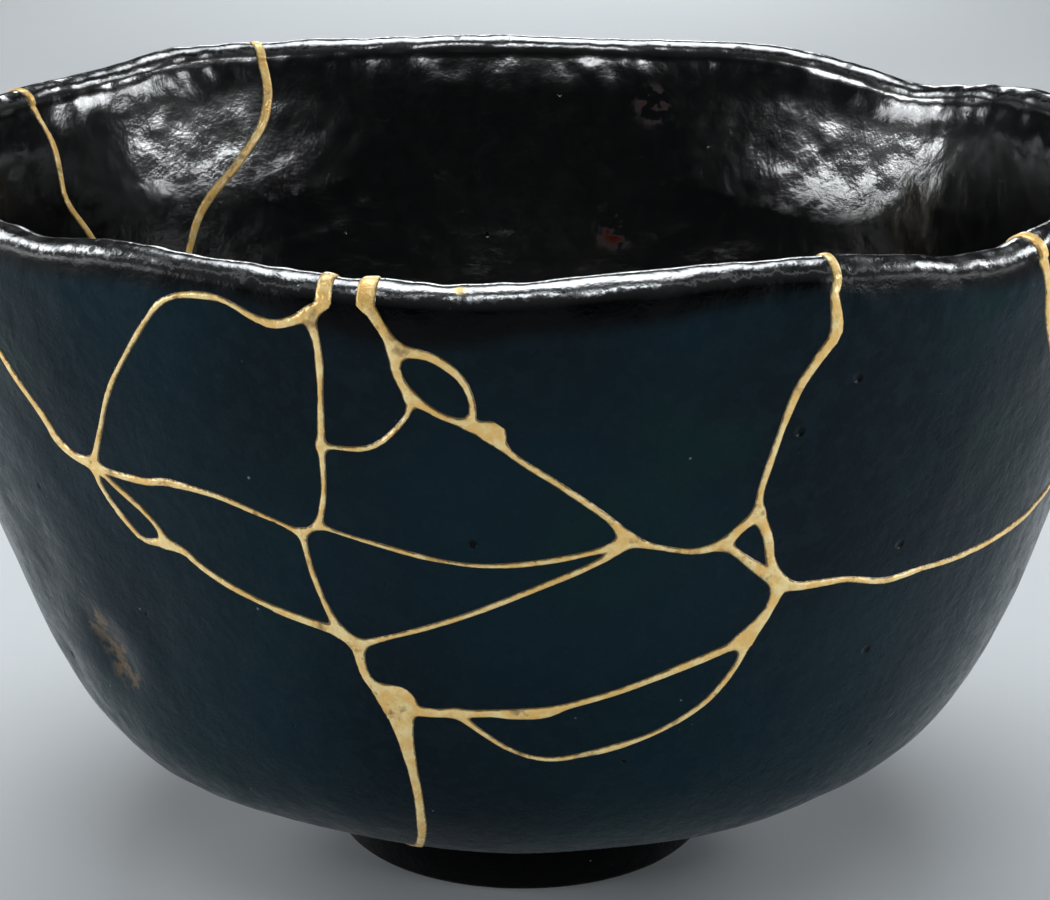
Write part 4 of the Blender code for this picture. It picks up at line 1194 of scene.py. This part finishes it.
class Looks:
    """The nodes of one material, with short ways to add more."""

    def __init__(self, name):
        self.material = bpy.data.materials.new(name)
        self.material.use_nodes = True
        self.tree = self.material.node_tree
        self.shader = self.tree.nodes["Principled BSDF"]
        self.place = self.node("ShaderNodeTexCoord").outputs["Object"]

    def plug(self, made, **sockets):
        """Give each socket its value or another node's output; _2 is the third socket."""
        for key, value in sockets.items():
            place = int(key[1:]) if key[0] == "_" else key.replace("_", " ")
            if isinstance(value, bpy.types.NodeSocket):
                self.tree.links.new(value, made.inputs[place])
            else:
                made.inputs[place].default_value = value

    def node(self, kind, settings=None, **sockets):
        made = self.tree.nodes.new(kind)
        for key, value in (settings or {}).items():
            setattr(made, key, value)
        self.plug(made, **sockets)
        return made

    def finish(self, **sockets):
        self.plug(self.shader, **sockets)
        return self.material

    def maths(self, operation, a, b, clamp=False):
        settings = {"operation": operation, "use_clamp": clamp}
        return self.node("ShaderNodeMath", settings, _0=a, _1=b).outputs[0]

    def times(self, a, b):
        return self.maths("MULTIPLY", a, b)

    def plus(self, a, b):
        return self.maths("ADD", a, b)

    def minus(self, a, b, clamp=False):
        return self.maths("SUBTRACT", a, b, clamp)

    def most(self, a, b):
        return self.maths("MAXIMUM", a, b)

    def blended(self, factor, a, b):
        """Colour a turning into colour b as the factor goes from 0 to 1."""
        made = self.node("ShaderNodeMix", {"data_type": "RGBA"}, _0=factor, _6=a, _7=b)
        return made.outputs[2]

    def ramped(self, value, ends):
        """0 before the first end, 1 past the second and smooth between."""
        made = self.node("ShaderNodeMapRange", {"interpolation_type": "SMOOTHSTEP"},
                         Value=value, From_Min=ends[0], From_Max=ends[1])
        return made.outputs["Result"]

    def noise(self, pattern):
        size, detail, roughness = pattern
        made = self.node("ShaderNodeTexNoise", Vector=self.place, Scale=1 / size,
                         Detail=detail, Roughness=roughness)
        return made.outputs["Fac"]

    def z_of(self, vector):
        return self.node("ShaderNodeSeparateXYZ", Vector=vector).outputs["Z"]

    def attribute(self, name):
        return self.node("ShaderNodeAttribute", {"attribute_name": name}).outputs["Fac"]

    def spots(self, spacing, radius, share):
        """Round spots in a share of the cells of an uneven grid."""
        cells = self.node("ShaderNodeTexVoronoi", Vector=self.place, Scale=1 / spacing)
        chosen = self.node("ShaderNodeSeparateColor", Color=cells.outputs["Color"])
        picked = self.maths("LESS_THAN", chosen.outputs[0], share)
        size = self.times(chosen.outputs[1], radius / spacing)
        edge = self.minus(size, cells.outputs["Distance"])
        soft = self.ramped(edge, (0.0, SPOT_EDGE * radius / spacing))
        return self.times(soft, picked)

    def near_points(self, points, reach):
        """1 at the listed points, falling to 0 at their reach."""
        total = None
        for point in points:
            gap = self.node("ShaderNodeVectorMath", {"operation": "DISTANCE"},
                            _0=self.place, _1=tuple(float(c) for c in point))
            close = self.ramped(gap.outputs["Value"], (reach, MARK_CORE * reach))
            total = close if total is None else self.most(total, close)
        return total

    def bump(self, height, distance):
        made = self.node("ShaderNodeBump", Height=height, Distance=distance, Strength=1.0)
        return made.outputs[0]


def glaze_colour(looks, bare, bowl):
    """Teal-black glaze with green patches, painted near black below the lip for the dark
    reflection there and towards the foot for its shade, and with the tong mark.
    """
    broad = looks.ramped(looks.noise(BROAD_NOISE), BROAD_RANGE)
    colour = looks.blended(broad, GLAZE_DEEP, GLAZE_TEAL)
    patches = looks.ramped(looks.noise(PATCH_NOISE), PATCH_RANGE)
    colour = looks.blended(looks.times(patches, PATCH_STRENGTH), colour, GLAZE_GREEN)
    mottle = looks.noise(MOTTLE_NOISE)
    pale = looks.times(looks.ramped(mottle, PALE_RANGE), PALE_STRENGTH)
    colour = looks.blended(pale, colour, GLAZE_PALE)
    # Painted shade: the glaze darkens towards the foot, which sits in shadow
    foot = looks.ramped(looks.z_of(looks.place), FOOT_PAINTED_SHADE_RANGE)
    # Painted dark reflection: the band below the lip turns near black, and so does the foot's
    # painted shade
    colour = looks.blended(looks.most(bare, foot), colour, GLAZE_PAINTED_DARK)
    broken = looks.ramped(mottle, TONG_RANGE)
    scar = looks.near_points([bowl.place(*mark) for mark in TONG_MARKS], TONG_REACH)
    colour = looks.blended(looks.times(scar, broken), colour, TONG_BROWN)
    return colour, mottle


def polished(looks, inward, bare):
    """How far the lip's top shines like polished iron, and how far the whole glaze does."""
    faces = looks.node("ShaderNodeNewGeometry").outputs["Normal"]
    upward = looks.z_of(faces)
    ragged = looks.minus(looks.noise(LIP_NOISE), NOISE_MIDDLE)
    upward = looks.plus(upward, looks.times(ragged, LIP_RAGGED))
    top = looks.times(looks.ramped(upward, LIP_TOP_FACES), bare)
    pits = looks.spots(LIP_PIT_SPACING, LIP_PIT_RADIUS, LIP_PIT_SHARE)
    top = looks.times(top, looks.minus(1.0, pits))
    return top, looks.most(top, inward)


def specks(looks, bowl):
    """Pale specks, thickest where the glaze is scuffed."""
    scuffed = looks.near_points([bowl.place(*SCUFF)], SCUFF_REACH)
    share = looks.plus(looks.times(scuffed, SCUFF_SHARE), SPECK_SHARE)
    return looks.spots(SPECK_SPACING, SPECK_RADIUS, share)


def glaze_material(bowl):
    looks = Looks("black_glaze")
    inward = looks.attribute("inward")
    bare = looks.attribute("bare")
    top, shine = polished(looks, inward, bare)
    colour, mottle = glaze_colour(looks, bare, bowl)
    dust = looks.times(specks(looks, bowl), SPECK_STRENGTH)
    colour = looks.blended(dust, colour, DUST)
    colour = looks.blended(inward, colour, GLAZE_INSIDE)
    rust = looks.near_points([bowl.place(*spot, "inner") for spot in RUST_SPOTS], RUST_REACH)
    rust = looks.times(rust, looks.ramped(mottle, RUST_RANGE))
    colour = looks.blended(rust, colour, RUST)
    shine = looks.minus(shine, rust, clamp=True)
    colour = looks.blended(top, colour, GLAZE_LIP)
    pins = looks.most(looks.spots(PIN_SPACING, PIN_RADIUS, PIN_SHARE),
                      looks.near_points([bowl.place(*mark) for mark in PINHOLES],
                                        PINHOLE_REACH))
    colour = looks.blended(pins, colour, PIT_DARK)
    dab_place = bowl.place(*GOLD_DAB) + np.array(GOLD_DAB_OFFSET)
    dab = looks.near_points([dab_place], GOLD_DAB_REACH)
    colour = looks.blended(dab, colour, GOLD_PALE)
    metal = looks.minus(shine, looks.most(pins, dab), clamp=True)

    base = looks.minus(GLAZE_ROUGHNESS, looks.times(inward, INSIDE_SMOOTHER))
    duller = looks.minus(GLAZE_DULLER, looks.times(inward, INSIDE_EVENER))
    rough = looks.plus(looks.times(looks.ramped(mottle, ROUGH_RANGE), duller), base)

    peel = looks.noise(PEEL_NOISE)
    smooth = looks.times(inward, -PEEL_INSIDE * PEEL_HEIGHT / PIT_DEPTH)
    share = looks.plus(smooth, PEEL_HEIGHT / PIT_DEPTH)
    height = looks.minus(looks.times(peel, share), pins)
    return looks.finish(Base_Color=colour, Metallic=metal, Roughness=rough, IOR=GLAZE_IOR,
                        Normal=looks.bump(height, PIT_DEPTH))


def gold_material():
    looks = Looks("gold_lacquer")
    depth = looks.attribute("depth")
    mottle = looks.ramped(looks.noise(GOLD_MOTTLE_NOISE), GOLD_MOTTLE_RANGE)
    colour = looks.blended(mottle, GOLD_OCHRE, GOLD_PALE)
    worn = looks.ramped(looks.noise(GOLD_WORN_NOISE), GOLD_WORN_RANGE)
    colour = looks.blended(looks.times(worn, GOLD_WORN_STRENGTH), colour, GOLD_BROWN)
    ragged = looks.times(looks.noise(GOLD_EDGE_NOISE), GOLD_EDGE_RAGGED)
    edge = looks.ramped(looks.minus(depth, ragged), GOLD_EDGE_RANGE)
    colour = looks.blended(looks.times(edge, GOLD_EDGE_STRENGTH), colour, GOLD_EDGE)
    rough = looks.plus(looks.times(worn, GOLD_WORN_DULLER), GOLD_ROUGHNESS)
    return looks.finish(Base_Color=colour, Metallic=GOLD_METAL, Roughness=rough,
                        Normal=looks.bump(looks.noise(GOLD_GRAIN_NOISE), GOLD_GRAIN_HEIGHT))


def floor_material():
    looks = Looks("pale_floor")
    cloud = looks.ramped(looks.noise(FLOOR_NOISE), FLOOR_RANGE)
    colour = looks.blended(cloud, FLOOR_COLOUR, FLOOR_COLOUR_TWO)
    return looks.finish(Base_Color=colour, Roughness=FLOOR_ROUGHNESS)


def add_floor():
    bpy.ops.mesh.primitive_plane_add(size=FLOOR_SIZE, location=(0.0, 0.0, 0.0))
    floor = bpy.context.object
    floor.name = "floor"
    floor.data.materials.append(floor_material())


def add_light(name, place, target, size, spread, watts):
    data = bpy.data.lights.new(name, "AREA")
    data.shape = "RECTANGLE"
    data.size, data.size_y = size
    data.spread = math.radians(spread)
    data.energy = watts
    data.color = LAMP_COLOUR
    light = bpy.data.objects.new(name, data)
    light.location = place
    aim = Vector(target) - Vector(place)
    light.rotation_euler = aim.to_track_quat("-Z", "Y").to_euler()
    bpy.context.scene.collection.objects.link(light)


def add_camera():
    data = bpy.data.cameras.new("camera")
    data.lens = LENS
    data.sensor_width = SENSOR_WIDTH
    data.shift_x, data.shift_y = SHIFT
    data.clip_start = CLIP_START
    camera = bpy.data.objects.new("camera", data)
    camera.location = CAMERA_PLACE
    camera.rotation_euler = (math.radians(90 - CAMERA_PITCH), 0.0, 0.0)
    bpy.context.scene.collection.objects.link(camera)
    bpy.context.scene.camera = camera


def set_world():
    world = bpy.data.worlds.new("room")
    bpy.context.scene.world = world
    world.use_nodes = True
    background = world.node_tree.nodes["Background"]
    background.inputs["Color"].default_value = ROOM_COLOUR
    background.inputs["Strength"].default_value = ROOM_STRENGTH


def add_pieces():
    """One finely made piece for each solid of the frame."""
    bowl = Bowl()
    seams = Seams(bowl.profile)
    outlines = {name: Outline(bowl, seams, names) for name, names in SHERDS.items()}
    mesh = DiscMesh(bowl, seams, outlines)
    glaze = glaze_material(bowl)
    for name in list(SHERDS) + [GOLD_NAME]:
        gold = name == GOLD_NAME
        finish = gold_material() if gold else glaze
        piece = Solid(mesh, name).made(name + "_fine", finish)
        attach(piece, "root")
        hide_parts(name)


add_pieces()
add_floor()
add_camera()
set_world()
bpy.context.scene.view_settings.view_transform = "Standard"
for light in LIGHTS:
    add_light(*light)
